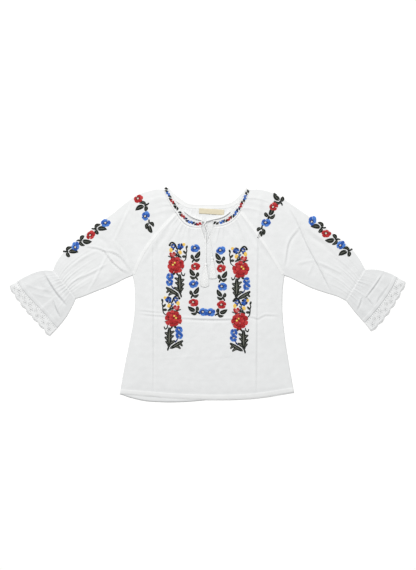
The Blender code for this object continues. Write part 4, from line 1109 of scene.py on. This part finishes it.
def tassel_head(start, along, aside, head_z):
    """The wound head, as points and faces."""
    sides, points = 20, []
    for share, size in HEAD_PROFILE:
        middle = start + share * TASSEL_HEAD * along
        for turn in full_turn(sides):
            radius = size * TASSEL_HEAD_RADIUS * (1 + 0.04 * math.cos(9 * turn))
            wider = 1 + 0.7 * max(0.0, share - 0.75)
            points.append((*(middle + radius * wider * math.cos(turn) * aside),
                           head_z + TASSEL_FLATNESS * radius * math.sin(turn)))
    return np.array(points), tube_faces(len(HEAD_PROFILE), sides)


def tassel_skirt(tree, start, along, aside, head_z, length, width):
    """The skirt's body under the strands, as points and faces."""
    rows, sides, points = 10, 16, []
    for share in np.linspace(0, 1, rows):
        middle = start + (SKIRT_START + share * (length - SKIRT_START - 2)) * along
        half = 2.2 + (width - 3.2) * share ** 0.9
        thick = 1.7 - 1.2 * share
        cloth = draped(tree, [(*middle, 0.0)])[0, 2]
        z = (1 - share ** 0.5) * head_z + share ** 0.5 * (cloth + 0.7)
        points += [(*(middle + half * math.cos(turn) * aside), z + thick * math.sin(turn))
                   for turn in full_turn(sides)]
    return np.array(points), tube_faces(rows, sides)


def make_tassel(key, tie, tree):
    """A tassel: a wound head and a skirt of fine strands that fan out and lie on the cloth."""
    start, end = (np.array(p) for p in tie["tassel"])
    length = float(np.linalg.norm(end - start))
    along = (end - start) / length
    aside = np.array([-along[1], along[0]])
    low, high = (np.array(c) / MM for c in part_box(f"tassel_{key}"))
    head_z = low[2] + TASSEL_FLATNESS * 1.12 * TASSEL_HEAD_RADIUS
    parts = [tassel_head(start, along, aside, head_z),
             tassel_skirt(tree, start, along, aside, head_z, length, tie["spread"])]
    t = np.linspace(0, 1, 9)
    width = 2.4 + (tie["spread"] - 2.4) * t ** 0.9
    for number in range(STRANDS * TASSEL_LAYERS):
        layer, k = divmod(number, STRANDS)
        place = (k + 0.5 + 0.2 * unevenness(number, 6)) / STRANDS * 2 - 1
        shorter = tie["round"] * abs(place) ** 2.5
        reach = (length - STRAND_START) * (1 - shorter - 0.03 * abs(unevenness(number, 8)))
        wave = 0.15 * np.sin(6 * t + number) * t
        middle = start + (STRAND_START + t[:, None] * reach) * along + (place * width + wave)[:, None] * aside
        cloth = draped(tree, np.column_stack([middle, np.zeros(len(t))]))[:, 2]
        lie = cloth + 0.35 + layer * (0.75 - 0.48 * t) + 0.06 * np.sin(5 * t + number * 1.3)
        root = head_z + (layer - (TASSEL_LAYERS - 1) / 2) * 0.9
        z = np.minimum(root + (lie - root) * t ** 0.5, high[2] - 0.4)
        parts.append(tube_points(np.column_stack([middle, z]), 0.5, 4))
    points, faces = join_parts(parts)
    return mesh_piece(f"tassel_{key}_threads", points, faces, cord_cotton)


# Embroidery


class Work:
    """Satin stitches in plan with a lift over the cloth, kept by thread colour."""

    def __init__(self, region):
        self.region = region
        self.parts = {}

    def add(self, colour, points, faces):
        self.parts.setdefault(colour, []).append((points, faces))


def placed(origin, turn=0.0, scale=(1.0, 1.0), mirror=False):
    """A function from a motif's own plan to the garment's."""
    cos, sin = math.cos(math.radians(turn)), math.sin(math.radians(turn))
    size = np.array([-scale[0] if mirror else scale[0], scale[1]])

    def place(points):
        return np.array(origin) + (np.atleast_2d(np.asarray(points, float)) * size) @ np.array(
            [[cos, sin], [-sin, cos]])

    return place


def resampled(line, count):
    along = lengths_along(line)
    wanted = np.linspace(0, along[-1], count)
    return np.stack([np.interp(wanted, along, line[:, k]) for k in range(2)], axis=1)


def satin(work, colour, edge_a, edge_b, dome=0.5, base=0.05, pitch=0.65, cross=4, tuck=0.12):
    """Threads laid side by side from one edge to the other, each a small ridge."""
    threads = max(2, round(max(line_length(edge_a), line_length(edge_b)) / pitch))
    count = 2 * threads + 1
    a, b = resampled(edge_a, count), resampled(edge_b, count)
    s = np.linspace(0, 1, cross + 1)
    grid = a[:, None] * (1 - s)[None, :, None] + b[:, None] * s[None, :, None]
    ridge = np.where(np.arange(count) % 2 == 1, RIDGE, 0.0)[:, None]
    arch = np.sin(math.pi * s)[None] ** 0.5
    lift = base + dome * arch + ridge * (0.4 + 0.6 * arch)
    lift[:, 0], lift[:, -1] = base - tuck, base - 0.12
    points = np.dstack([grid, lift * np.ones(grid.shape[:2])]).reshape(-1, 3)
    work.add(colour, points, grid_faces(count, cross + 1))


def leaf(work, place, base, tip, width, bend=0.0, colour="leaf", core="moss", lift=0.05, inner=0.062):
    """A pointed leaf of two satin halves that meet at a midrib, with a paler core where it is wide."""
    base, tip = np.array(base, float), np.array(tip, float)
    axis = tip - base
    normal = np.array([-axis[1], axis[0]]) / np.linalg.norm(axis)

    def middle(t):
        return base + t * axis + bend * np.sin(math.pi * t) * normal

    t = np.linspace(0, 1, 22)[:, None]
    half = 0.54 * width * np.sin(math.pi * t ** 0.85) ** 0.5
    ahead = np.clip(t + 0.05, 0, 1)
    for sign in (-1, 1):
        rib, edge = middle(t) + sign * 0.1 * normal, middle(ahead) + sign * half * normal
        satin(work, colour, place(rib), place(edge), dome=0.35, base=lift, pitch=0.75, cross=2, tuck=0.0)
    if core and width > 3.4:
        t = np.linspace(0.24, 0.84, 12)[:, None]
        half = inner * width * np.sin(math.pi * (t - 0.19) / 0.7) ** 0.7
        satin(work, core, place(middle(t) - half * normal), place(middle(t) + half * normal), dome=0.3,
              base=lift + 0.4, pitch=0.9, cross=2)


def leaves(work, place, rows, **kind):
    """Leaves from rows of base x, base y, tip x, tip y, width and bend."""
    for x0, y0, x1, y1, width, bend in rows:
        leaf(work, place, (x0, y0), (x1, y1), width, bend, **kind)


def stem(work, place, points, width=2.2, colour="leaf", lift=0.05):
    line = place(evenly(points, 0.8))
    taper = width / 2 * (0.55 + 0.45 * np.sin(math.pi * np.linspace(0.08, 0.92, len(line))))[:, None]
    satin(work, colour, moved_aside(line, taper), moved_aside(line, -taper), dome=0.4, base=lift, pitch=1.0,
          cross=2)


def petals(work, place, centre, inner, outer, lobes, colours, turn=0.0, lift=0.05, dome=0.45, seed=1):
    """A ring of rounded petals, each a satin patch from an inner circle to its lobed edge."""
    centre = np.array(centre, float)
    for k in range(lobes):
        across = np.linspace(0.0, 1.0, 16)
        rays = unit(turn + 2 * math.pi * (k + across + 0.1 * unevenness(k, seed + 5)) / lobes)
        reach = outer * (1 + 0.08 * unevenness(k, seed)) * (0.84 + 0.16 * np.sin(math.pi * across) ** 0.4)
        satin(work, colours[k % len(colours)], place(centre + inner * rays),
              place(centre + reach[:, None] * rays), dome=dome, base=lift)


def knot(work, place, centre, radius, colour, lift=0.6):
    """A small round cluster of thread."""
    sides = 12
    points, lifts = [place(np.array(centre, float))], [lift + KNOT_HEIGHT]
    for share in (0.45, 0.8, 1.0):
        points.append(place(np.array(centre) + share * radius * unit(full_turn(sides))))
        edge = -0.1 if share == 1.0 else 0.08
        lifts += [lift + KNOT_HEIGHT * math.sqrt(1 - share**2) + edge * (k % 2) for k in range(sides)]
    faces = [(0, 1 + k, 1 + (k + 1) % sides) for k in range(sides)]
    for start in (1, 1 + sides):
        faces += [(start + k, start + sides + k, start + sides + (k + 1) % sides, start + (k + 1) % sides)
                  for k in range(sides)]
    work.add(colour, np.column_stack([np.concatenate(points), lifts]), faces)


def strokes(work, place, centre, near, far, count, colour, turn, lift, seed):
    """Short dark stitches that part the petals."""
    for k in range(count):
        out = ray(turn + 2 * math.pi * (k + 0.3 * unevenness(k, seed)) / count)
        reach = far * (1 + 0.25 * unevenness(k, seed + 2))
        leaf(work, place, np.array(centre) + near * out, np.array(centre) + reach * out, 1.2, 0.5,
             colour=colour, core=None, lift=lift)


def small_flower(work, place, main, seed):
    """An uneven flower with darker strokes and a pale heart off its middle."""
    colours, ring = {"blue": (("sky", "sky", "blue", "sky", "blue"), "navy"),
                     "red": (("red", "rose", "red", "red", "rose"), "crimson")}[main]
    petals(work, place, (0, 0), 1.2, 10.8, 5, colours, turn=0.7 * seed, seed=seed)
    heart = (-1.4 + 0.8 * unevenness(seed, 4), 0.9)
    strokes(work, place, heart, 2.6, 7.6, 8, main, 0.3 * seed, 0.5, seed)
    petals(work, place, heart, 1.8, 4.9, 4, (ring, ring, main, ring), turn=0.9 * seed, lift=0.62, dome=0.25,
           seed=seed + 3)
    knot(work, place, heart, 2.3, "cream", lift=0.7)


def leaf_spray(work, place):
    """A large leaf, a small one and a curved one on a short stem."""
    leaves(work, place, [(-0.6, -2.0, 10.4, 11.8, 9.6, -1.2), (-3.0, -4.4, -7.6, 6.0, 7.6, 0.8),
                         (-3.6, -5.8, 10.8, -2.8, 6.6, -2.8)])
    stem(work, place, [(8.6, 8.6), (10.4, 11.4), (9.8, 13.8)], width=3.0)
    stem(work, place, [(-0.4, -2.6), (-3.0, -5.6), (-5.0, -8.4), (-6.0, -11.6)], width=4.4)


def end_spray(work, place):
    """Three leaves that end a strip."""
    leaves(work, place, [(0, 6.0, -7.8, -5.6, 6.4, -2.0), (0, 6.0, 7.8, -3.8, 6.8, 2.4),
                         (-0.6, 1.6, 1.2, -15.0, 8.6, -1.4)])
    stem(work, place, [(1.4, 12.0), (0.8, 8.4), (0, 5.0)], width=4.0)


def rose(work, place, centre, radius, seed):
    """A full rose of three rings of petals round two yellow stamens."""
    centre = np.array(centre, float)
    inner = centre + np.array([-0.16, 0.13]) * radius
    petals(work, place, centre, 0.28 * radius, 1.02 * radius, 9, ("red", "rose", "red"), turn=0.2 * seed,
           seed=seed, dome=0.5)
    strokes(work, place, centre, 0.60 * radius, 0.95 * radius, 9, "crimson", 0.2 * seed, 0.5, seed)
    petals(work, place, centre, 0.04 * radius, 0.70 * radius, 7, ("rose", "red", "red"), turn=0.42, lift=0.3,
           dome=0.5, seed=seed + 2)
    strokes(work, place, centre, 0.36 * radius, 0.66 * radius, 7, "crimson", 0.42, 0.8, seed + 1)
    for start, stop, share in ((3.6, 5.4, 0.62), (5.9, 7.0, 0.56), (1.0, 1.9, 0.60)):
        arc = [centre + share * radius * ray(turn) for turn in np.linspace(start, stop, 8)]
        stem(work, place, arc, width=1.5, colour="crimson", lift=0.75)
    petals(work, place, inner, 0.04 * radius, 0.42 * radius, 5, ("red", "rose"), turn=0.2, lift=0.7, dome=0.3,
           seed=seed + 3)
    for dx, dy, colour, size in ((0.05, 0.16, "lemon", 2.0), (-0.17, -0.07, "lemon", 2.2),
                                 (-0.33, 0.19, "crimson", 1.7), (0.10, -0.08, "crimson", 1.8),
                                 (-0.34, -0.10, "crimson", 1.2)):
        knot(work, place, inner + np.array([dx, dy]) * radius, size, colour, lift=1.0)


def twin_blue(work, place, centre, seed):
    for dy, turn in ((6.2, 0.3), (-6.2, 1.1)):
        spot = np.array(centre) + np.array([0.3 if dy > 0 else -0.3, dy])
        petals(work, place, spot, 0.8, 8.6, 5, ("blue", "blue", "sky"), turn=turn, seed=seed)
        strokes(work, place, spot, 2.4, 5.4, 4, "navy", turn, 0.5, seed)
        leaf(work, place, spot + (-2.4, -1.6), spot + (2.4, 1.8), 2.2, colour="cream", core=None, lift=0.6)


def navy_flower(work, place, centre, seed):
    petals(work, place, centre, 0.8, 7.4, 5, ("navy", "blue", "blue", "navy", "blue"), turn=0.4 * seed,
           seed=seed)
    leaf(work, place, np.array(centre) + (-3.4, 2.4), np.array(centre) + (2.6, -1.6), 1.6, colour="sky",
         core=None, lift=0.6)
    knot(work, place, np.array(centre) + (-4.6, 3.6), 1.7, "leaf", lift=0.5)


def loop_flower(work, place):
    """A dark loop round a few blue and white stitches."""
    stem(work, place, [(-13.6, 44.4), (-11.6, 48.2), (-7.6, 50.0), (-2.6, 46.4), (0.6, 41.0), (2.2, 35.4)],
         width=4.8)
    knot(work, place, (-13.2, 44.4), 2.8, "leaf", lift=0.1)
    petals(work, place, (-5.8, 41.6), 1.2, 5.8, 5, ("blue", "navy", "blue"), turn=0.4, seed=3)
    knot(work, place, (-5.0, 41.6), 1.8, "cream", lift=0.5)
    knot(work, place, (-5.8, 35.4), 2.4, "navy", lift=0.1)


def cut_leaf(work, place, base, tip, width, lobes):
    """A broad leaf with a pale core and pointed lobes, from rows of share, side, reach out and ahead."""
    base, tip = np.array(base, float), np.array(tip, float)
    length = np.linalg.norm(tip - base)
    axis = (tip - base) / length
    normal = np.array([-axis[1], axis[0]])
    for share, side, out, ahead, size in lobes:
        root = base + share * length * axis
        leaf(work, place, root, root + side * out * normal + ahead * axis, 1.2 * size, -side * 1.2,
             inner=0.13)
    leaf(work, place, base, tip, 1.1 * width, 0.6, lift=0.25, inner=0.13)


def rose_bouquet(work, origin, mirror, seed):
    """One repeat of the outer columns, about the rose's middle."""
    place = placed(origin, mirror=mirror)
    cut_leaf(work, place, (10.0, -66.0), (8.6, -19.6), 9.6, [
        (0.16, 1, 14.0, 10.5, 6.2), (0.16, -1, 7.6, 9.0, 5.6), (0.42, 1, 10.6, 9.6, 5.6),
        (0.36, -1, 9.4, 9.0, 6.6), (0.62, 1, 11.6, 10.4, 5.2), (0.58, -1, 9.8, 8.4, 6.0)])
    cut_leaf(work, place, (8.4, -66.4), (-21.4, -48.4), 7.4, [
        (0.30, 1, 9.6, 10.0, 4.6), (0.42, 1, 13.0, 6.4, 5.0), (0.66, 1, 10.2, 4.8, 4.6),
        (0.46, -1, 3.4, 8.0, 3.8)])
    stem(work, place, [(9.6, -62.0), (11.4, -66.0), (12.2, -70.6)], width=4.4)
    stem(work, place, [(-9.4, -44.6), (-7.0, -48.8), (-3.4, -52.6)], width=3.4, colour="navy")
    stem(work, place, [(12.2, -14.6), (13.6, -20.4), (17.4, -23.2), (20.2, -17.4)], width=3.4)
    leaves(work, place, [(-1.4, -16.0, -7.4, -21.6, 5.4, 0), (0.6, -16.0, 6.2, -23.4, 4.2, 0)])
    twin_blue(work, place, (-13.0, -31.2), seed)
    stem(work, place, [(0.8, 17.0), (2.2, 24.0), (3.6, 31.0), (3.2, 37.6)], width=3.0)
    stem(work, place, [(3.0, 36.8), (7.2, 35.6), (11.2, 33.2)], width=3.2)
    leaves(work, place, [(-1.4, 33.6, 3.8, 28.4, 3.4, 0), (3.4, 28.8, 8.2, 23.6, 3.2, 0)], colour="navy",
           core=None)
    leaves(work, place, [(-0.4, 30.0, 4.4, 31.6, 2.2, 0)], colour="sky", core=None, lift=0.4)
    leaves(work, place, [(2.8, 19.0, 12.6, 16.6, 4.8, 1.6), (2.0, 20.4, 8.6, 22.6, 4.2, 0.6)])
    loop_flower(work, place)
    navy_flower(work, place, (10.6, 41.6), seed)
    leaves(work, place, [(14.4, 43.4, 20.6, 47.4, 6.4, 0), (-8.4, 39.0, -11.8, 28.8, 7.4, 0),
                         (7.2, 32.4, 11.4, 24.2, 7.4, 0)], colour="yellow", core=None, lift=0.15)
    leaves(work, place, [(-0.8, 19.0, -6.2, 28.8, 3.6, -2.8), (-0.6, 17.8, -11.4, 18.2, 3.8, 2.0),
                         (-9.0, 17.6, -17.2, 20.2, 3.2, 0)])
    leaves(work, place, [(-2.4, 20.0, -13.6, 27.2, 7.6, 1.2), (-1.6, 20.6, -5.0, 29.4, 6.2, 0)], colour="red",
           core=None, lift=0.3)
    leaves(work, place, [(-3.0, 20.6, -9.8, 25.4, 4.6, 0)], colour="pink", core=None, lift=0.6)
    stem(work, place, [(16.6, 8.0), (21.2, 12.6), (22.8, 20.0), (23.0, 27.0), (24.4, 33.0), (22.8, 37.2),
                       (24.6, 41.6)], width=3.2)
    leaves(work, place, [(22.6, 25.0, 16.4, 32.0, 4.8, 0), (22.8, 19.2, 13.6, 19.2, 6.0, 0),
                         (22.6, 36.0, 25.4, 43.4, 4.6, 0)])
    rose(work, place, (0, 0), 19.0, seed)


def from_pixel(x, y):
    return ((x - ORIGIN_PIXEL[0]) * PIXEL, (ORIGIN_PIXEL[1] - y) * PIXEL)


# Motifs by their places in the photograph: kind, x, y in pixels, turn in degrees, mirrored
BOUQUETS = [(175.8, 265.3, False), (173.3, 318.5, True), (240.6, 269.4, True), (239.6, 321.1, False)]
FRONT_MOTIFS = [
    ("blue", 195.3, 248.4, 0, False), ("spray", 195.0, 257.4, 0, False), ("red", 195.4, 266.5, 4, False),
    ("spray", 194.8, 275.0, 0, True), ("blue", 193.7, 284.1, 8, False), ("spray", 193.8, 293.2, 0, False),
    ("red", 193.7, 302.5, 0, False), ("spray", 195.0, 310.2, 24, True), ("blue", 203.7, 312.1, 3, False),
    ("blue", 210.6, 312.3, 12, False), ("spray", 220.0, 312.4, -30, False), ("red", 221.7, 304.8, 6, False),
    ("spray", 221.9, 295.7, 0, True), ("blue", 222.5, 286.7, 2, False), ("spray", 221.9, 277.3, 0, False),
    ("red", 221.3, 268.5, 10, False), ("spray", 220.7, 259.2, 0, True), ("blue", 221.0, 250.4, 14, False),
]
SLEEVE_MOTIFS = {
    "right": [
        ("red", 138.6, 198.8, 20, False), ("spray", 143.6, 206.8, 152, False),
        ("blue", 145.7, 216, 60, False), ("end", 149.6, 225.6, 12, False),
        ("blue", 105.8, 223.2, 0, False), ("spray", 98.2, 229.5, 232, True),
        ("red", 90.8, 235.0, 50, False), ("spray", 83.2, 240.4, 300, False), ("blue", 75.7, 246.4, 90, False),
        ("spray", 69.6, 252.2, 232, True),
    ],
    "left": [
        ("spray", 279.2, 199.8, 0, True), ("red", 273.7, 206.8, 40, False),
        ("spray", 269.2, 214.6, 15, False), ("blue", 266.1, 222.7, 10, False),
        ("end", 261.0, 231.2, -18, True), ("blue", 312.3, 221.0, 70, False),
        ("spray", 319.4, 227.8, 120, False), ("red", 326.3, 233.7, 10, False),
        ("spray", 333.6, 239.2, 60, True), ("blue", 340.8, 245.1, 50, False),
        ("spray", 346.6, 252.2, 150, False),
    ],
}
# Motifs of the neck binding: kind, x and y in millimetres
BAND_MOTIFS = {
    "right": [("leaf", -91.3, 230.8), ("blue", -88.0, 221.8), ("leaf", -83.2, 213.0), ("red", -78.3, 205.0),
              ("leaf", -73.4, 197.4), ("leaf", -69.4, 190.9), ("leaf", -60.4, 178.6), ("red", -53.7, 173.4),
              ("navy", -45.6, 166.6), ("blue", -37.2, 161.3), ("navy", -28.4, 158.0), ("red", -19.1, 156.8)],
    "left": [("leaf", 19.0, 158.6), ("blue", 31.0, 161.6), ("leaf", 38.7, 164.2), ("red", 47.1, 167.6),
             ("leaf", 55.0, 172.2), ("blue", 62.2, 179.0), ("navy", 69.0, 187.6), ("red", 74.8, 195.8),
             ("leaf", 79.6, 205.0), ("blue", 84.2, 213.6), ("leaf", 88.3, 225.0)],
}


def add_motifs(work, motifs, size=1.0):
    for number, (kind, x, y, turn, mirror) in enumerate(motifs):
        if kind == "spray":
            leaf_spray(work, placed(from_pixel(x, y), turn, (size, size), mirror))
        elif kind == "end":
            end_spray(work, placed(from_pixel(x, y), turn, (size, size), mirror))
        else:
            small_flower(work, placed(from_pixel(x, y), turn, (1.02, 0.86)), kind, number + 1)


def embroider_band(work, centre_line, key):
    """Small petals and leaves in a row along the binding."""
    for number, (kind, x, y) in enumerate(BAND_MOTIFS[key]):
        nearest = np.linalg.norm(centre_line - np.array([x, y]), axis=1).argmin()
        nearest = min(max(nearest, 2), len(centre_line) - 3)
        run = centre_line[nearest + 2] - centre_line[nearest - 2]
        spot = 0.4 * np.array([x, y]) + 0.6 * centre_line[nearest]
        place = placed(spot, math.degrees(math.atan2(run[1], run[0])), mirror=bool(number % 2))
        second = {"red": "red", "blue": "sky", "navy": "leaf", "leaf": "leaf"}[kind]
        leaves(work, place, [(-5.6, -2.8, 0.8, 3.4, 4.2, 0.8), (-0.8, -3.4, 5.6, 2.8, 4.2, -0.8)],
               colour=kind, core=None)
        leaves(work, place, [(-5.0, 3.0, -0.4, -0.6, 2.9, 0.5), (0.6, 0.4, 5.0, -3.2, 2.9, 0.5)],
               colour=second, core=None, lift=0.2)
        if kind in ("red", "blue"):
            leaves(work, place, [(-2.0, -1.5, 1.8, 1.3, 1.2, 0)], core=None, lift=0.6,
                   colour={"red": "crimson", "blue": "navy"}[kind])


def surface_tree():
    points, faces = join_parts(surfaces)
    return BVHTree.FromPolygons([tuple(p) for p in points], faces)


def draped(tree, points):
    """Points with their lift added to the height of the cloth under them."""
    out = np.array(points, float)
    down = Vector((0, 0, -1))
    for i, (x, y, lift) in enumerate(points):
        hit = tree.ray_cast(Vector((x, y, OVER_ALL)), down)
        out[i, 2] = lift + (hit[0].z if hit[0] else EDGE_LIFT + CLOTH)
    return out


def upward(points, faces):
    """Faces turned so that they look up."""
    turns = left_turn(*(points[[face[k] for face in faces]] for k in range(3)))
    return [face if turn > 0 else face[::-1] for face, turn in zip(faces, turns)]


def sew(work, tree):
    made = []
    for colour, parts in work.parts.items():
        points, faces = join_parts(parts)
        points = draped(tree, points)
        made.append(mesh_piece(f"embroidery_{work.region}_{colour}", points, upward(points, faces),
                               floss[colour]))
    return made


def stitch_row(parts, line, pitch=2.7, length=1.9, width=0.42, lift=0.3):
    """A row of running stitches along a plan line."""
    along = lengths_along(line)
    for at in np.arange(pitch / 2, line_length(line) - pitch / 2, pitch):
        start, end = (np.array([np.interp(at + d, along, line[:, c]) for c in range(2)])
                      for d in (-length / 2, length / 2))
        middle = (start + end) / 2
        run = (end - start) / max(np.linalg.norm(end - start), 1e-6)
        aside = np.array([-run[1], run[0]]) * width / 2
        points = np.array([(*start, 0), (*(middle - aside), 0.02), (*end, 0), (*(middle + aside), 0.02),
                           (*middle, lift)])
        parts.append((points, [(0, 1, 4), (1, 2, 4), (2, 3, 4), (3, 0, 4)]))


def seam_band(tree, name, line, width, rise, finish=double_cotton, ruck=0.0):
    """A folded and stitched band of cloth that lies on a seam or hem, as a low rounded strip."""
    rows = np.stack([moved_aside(line, -share * width) for share, _ in BAND_PROFILE], axis=1)
    lifts = rise * np.array([part for _, part in BAND_PROFILE])
    along = np.arange(len(line))[:, None]
    lift = lifts[None] + ruck * np.sin(1.9 * along + 0.8 * np.sin(0.7 * along)) * (lifts > 0)[None]
    points = draped(tree, np.dstack([rows, lift]).reshape(-1, 3))
    faces = upward(points, grid_faces(len(line), len(BAND_PROFILE)))
    return mesh_piece(name, points, faces, finish)


def make_bands(tree):
    """Bands of doubled cloth by the panel that each is sewn to."""
    made = {"front": [], "right": [], "left": [], "flounce_right": [], "flounce_left": []}

    def add(panel, name, kind, side, line, finish=double_cotton):
        shift, width, rise, ruck = BANDS[kind]
        line = beside(side, line, shift) if shift else line
        made[panel].append(seam_band(tree, name, line, width, rise, finish, ruck))

    hem = moved_aside(spread(FRONT_HEM, 240, 0.002, 0.998), BODY_HEM / 2)
    made["front"].append(seam_band(tree, "hem_front", hem, BODY_HEM, HEM_BAND_RISE))
    for key, side, _ in SIDES:
        add(key, f"raglan_seam_{key}", "raglan", side, spread(side["raglan_front"], 110, 0.02, 0.985))
        add(key, f"elastic_{key}", "elastic", side, wrist(side, np.linspace(0.015, 0.985, 90)), cotton)
        hem = beside(side, spread(side["flounce_hem"], 110, 0.012, 0.988), -FLOUNCE_HEM / 2)
        # The flounce's hem band carries the flounce cotton's painted shade
        made["flounce_" + key].append(
            seam_band(tree, f"hem_flounce_{key}", hem, FLOUNCE_HEM, HEM_BAND_RISE, flounce_cotton_painted_shade))
        add("front", f"casing_{key}", "casing", side, spread(side["neck_outer"], 90, neck_split(side), 1))
        add("front", f"slit_edge_{key}", "slit", side, slit_line(side, 50, 0.08, 0.96))
    return made


def make_stitching(tree):
    """Topstitching of the hems, raglan seams, placket and elastic."""
    parts = []
    stitch_row(parts, moved_aside(spread(FRONT_HEM, 200, 0.004, 0.996), BODY_HEM - STITCHED["hem"]))
    for _, side, _ in SIDES:
        raglan = spread(side["raglan_front"], 120, 0.03, 0.97)
        for shift in STITCHED["raglan"]:
            stitch_row(parts, beside(side, raglan, shift))
        hem = spread(side["flounce_hem"], 90, 0.03, 0.97)
        stitch_row(parts, beside(side, hem, STITCHED["flounce"] - FLOUNCE_HEM))
        casing = spread(side["neck_outer"], 80, neck_split(side), 0.99)
        stitch_row(parts, beside(side, casing, STITCHED["casing"]), pitch=2.2, length=1.5)
        stitch_row(parts, beside(side, slit_line(side, 40, 0.1, 0.98), STITCHED["slit"]), pitch=2.4)
        elastic = wrist(side, np.linspace(0.03, 0.97, 60))
        stitch_row(parts, elastic, pitch=1.9, length=1.2, width=0.3, lift=0.1)
    for x in PLACKET["x"]:
        stitch_row(parts, np.array([(x, y) for y in np.linspace(*PLACKET["y"], 30)]), pitch=2.4)
    points, faces = join_parts(parts)
    return mesh_piece("topstitching", draped(tree, points), faces, double_cotton, smooth=False)


# Studio


def make_studio():
    floor_material = new_material("pale_floor", FLOOR["colour"], 0.9, 0.0)
    bpy.ops.mesh.primitive_plane_add(size=FLOOR["size"], location=(0, 0, FLOOR["z"]))
    floor = bpy.context.object
    floor.name = "floor"
    floor.data.materials.append(floor_material)
    world = bpy.data.worlds.new("studio")
    bpy.context.scene.world = world
    world.use_nodes = True
    world.node_tree.nodes["Background"].inputs["Color"].default_value = (1, 1, 1, 1)
    world.node_tree.nodes["Background"].inputs["Strength"].default_value = SURROUND
    key = bpy.data.lights.new("window", "SUN")
    key.energy = SUN["strength"]
    key.angle = math.radians(SUN["angle"])
    soft = bpy.data.lights.new("softbox", "AREA")
    soft.energy = SOFTBOX["power"]
    soft.size = SOFTBOX["size"]
    soft.color = SOFTBOX["colour"]
    for data, place in ((key, SUN["place"]), (soft, SOFTBOX["place"])):
        light = bpy.data.objects.new(data.name, data)
        bpy.context.scene.collection.objects.link(light)
        light.location = place
        light.rotation_euler = (-Vector(place)).to_track_quat("-Z", "Y").to_euler()


def make_camera():
    """Straight down, at the photograph's scale."""
    data = bpy.data.cameras.new("camera")
    data.sensor_width = SENSOR
    data.lens = LENS
    height = PHOTO_SIZE[1] * PIXEL * MM * LENS / SENSOR
    camera = bpy.data.objects.new("camera", data)
    bpy.context.scene.collection.objects.link(camera)
    x, y = from_pixel(*PHOTO_CENTRE)
    camera.location = (x * MM, y * MM, height)
    bpy.context.scene.camera = camera
    bpy.context.scene.view_settings.view_transform = "Standard"


def declare_sheet(piece, with_pieces=()):
    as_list(with_pieces)


def main():
    make_camera()
    make_studio()
    back = make_back()
    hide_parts("body_back")
    front = make_front()
    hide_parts("body_front")
    band_back = make_back_binding()
    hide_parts("neck_binding_back")
    label = make_label()
    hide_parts("neck_label")
    tubes, bands = {}, {}
    for key, side, seed in SIDES:
        hem = spread(side["flounce_hem"], 40)
        sleeve = make_tube(f"sleeve_{key}_cloth", sleeve_plan, sleeve_folds, side, seed,
                           rows=130, columns=84, pinch=1.0)
        # The flounce is drawn in the darker cotton, which is painted shade
        flounce = make_tube(f"flounce_{key}", flounce_plan, flounce_folds, side, seed,
                            rows=80, columns=110, pinch=0.0, hem=hem, finish=flounce_cotton_painted_shade)
        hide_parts(f"sleeve_{key}")
        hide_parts(f"cuff_flounce_{key}")
        tubes[key] = (sleeve, flounce)
        bands[key] = make_front_binding(key, side)
        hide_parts(f"neck_binding_front_{key}")
    tree = surface_tree()
    seams = make_bands(tree)
    stitching = make_stitching(tree)
    work = Work("front")
    for number, (x, y, mirror) in enumerate(BOUQUETS):
        rose_bouquet(work, from_pixel(x, y), mirror, number + 1)
    add_motifs(work, FRONT_MOTIFS)
    front_threads = sew(work, tree)
    for key, side, seed in SIDES:
        work = Work("sleeve_" + key)
        add_motifs(work, SLEEVE_MOTIFS[key], 1.12)
        sleeve_threads = sew(work, tree)
        work = Work("binding_" + key)
        embroider_band(work, bands[key][1], key)
        band_threads = sew(work, tree)
        lace = make_lace(key, side, seed)
        for layer in ("front", "back"):
            strip, cord = lace[layer]
            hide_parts(f"cuff_lace_{key}_{layer}")
            declare_sheet(strip, with_pieces=[cord])
        declare_sheet(tubes[key][0], with_pieces=sleeve_threads + seams[key])
        declare_sheet(tubes[key][1], with_pieces=seams["flounce_" + key])
        declare_sheet(bands[key][0], with_pieces=band_threads)
        tie = TIES[key]
        cord, line = make_tie(key, tie)
        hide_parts(f"tie_cord_{key}")
        tassel = make_tassel(key, tie, tree)
        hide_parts(f"tassel_{key}")
        line_length(line) * MM
    declare_sheet(front,
                  with_pieces=front_threads + seams["front"] + [stitching])
    declare_sheet(back)
    declare_sheet(band_back)
    declare_sheet(label)


main()
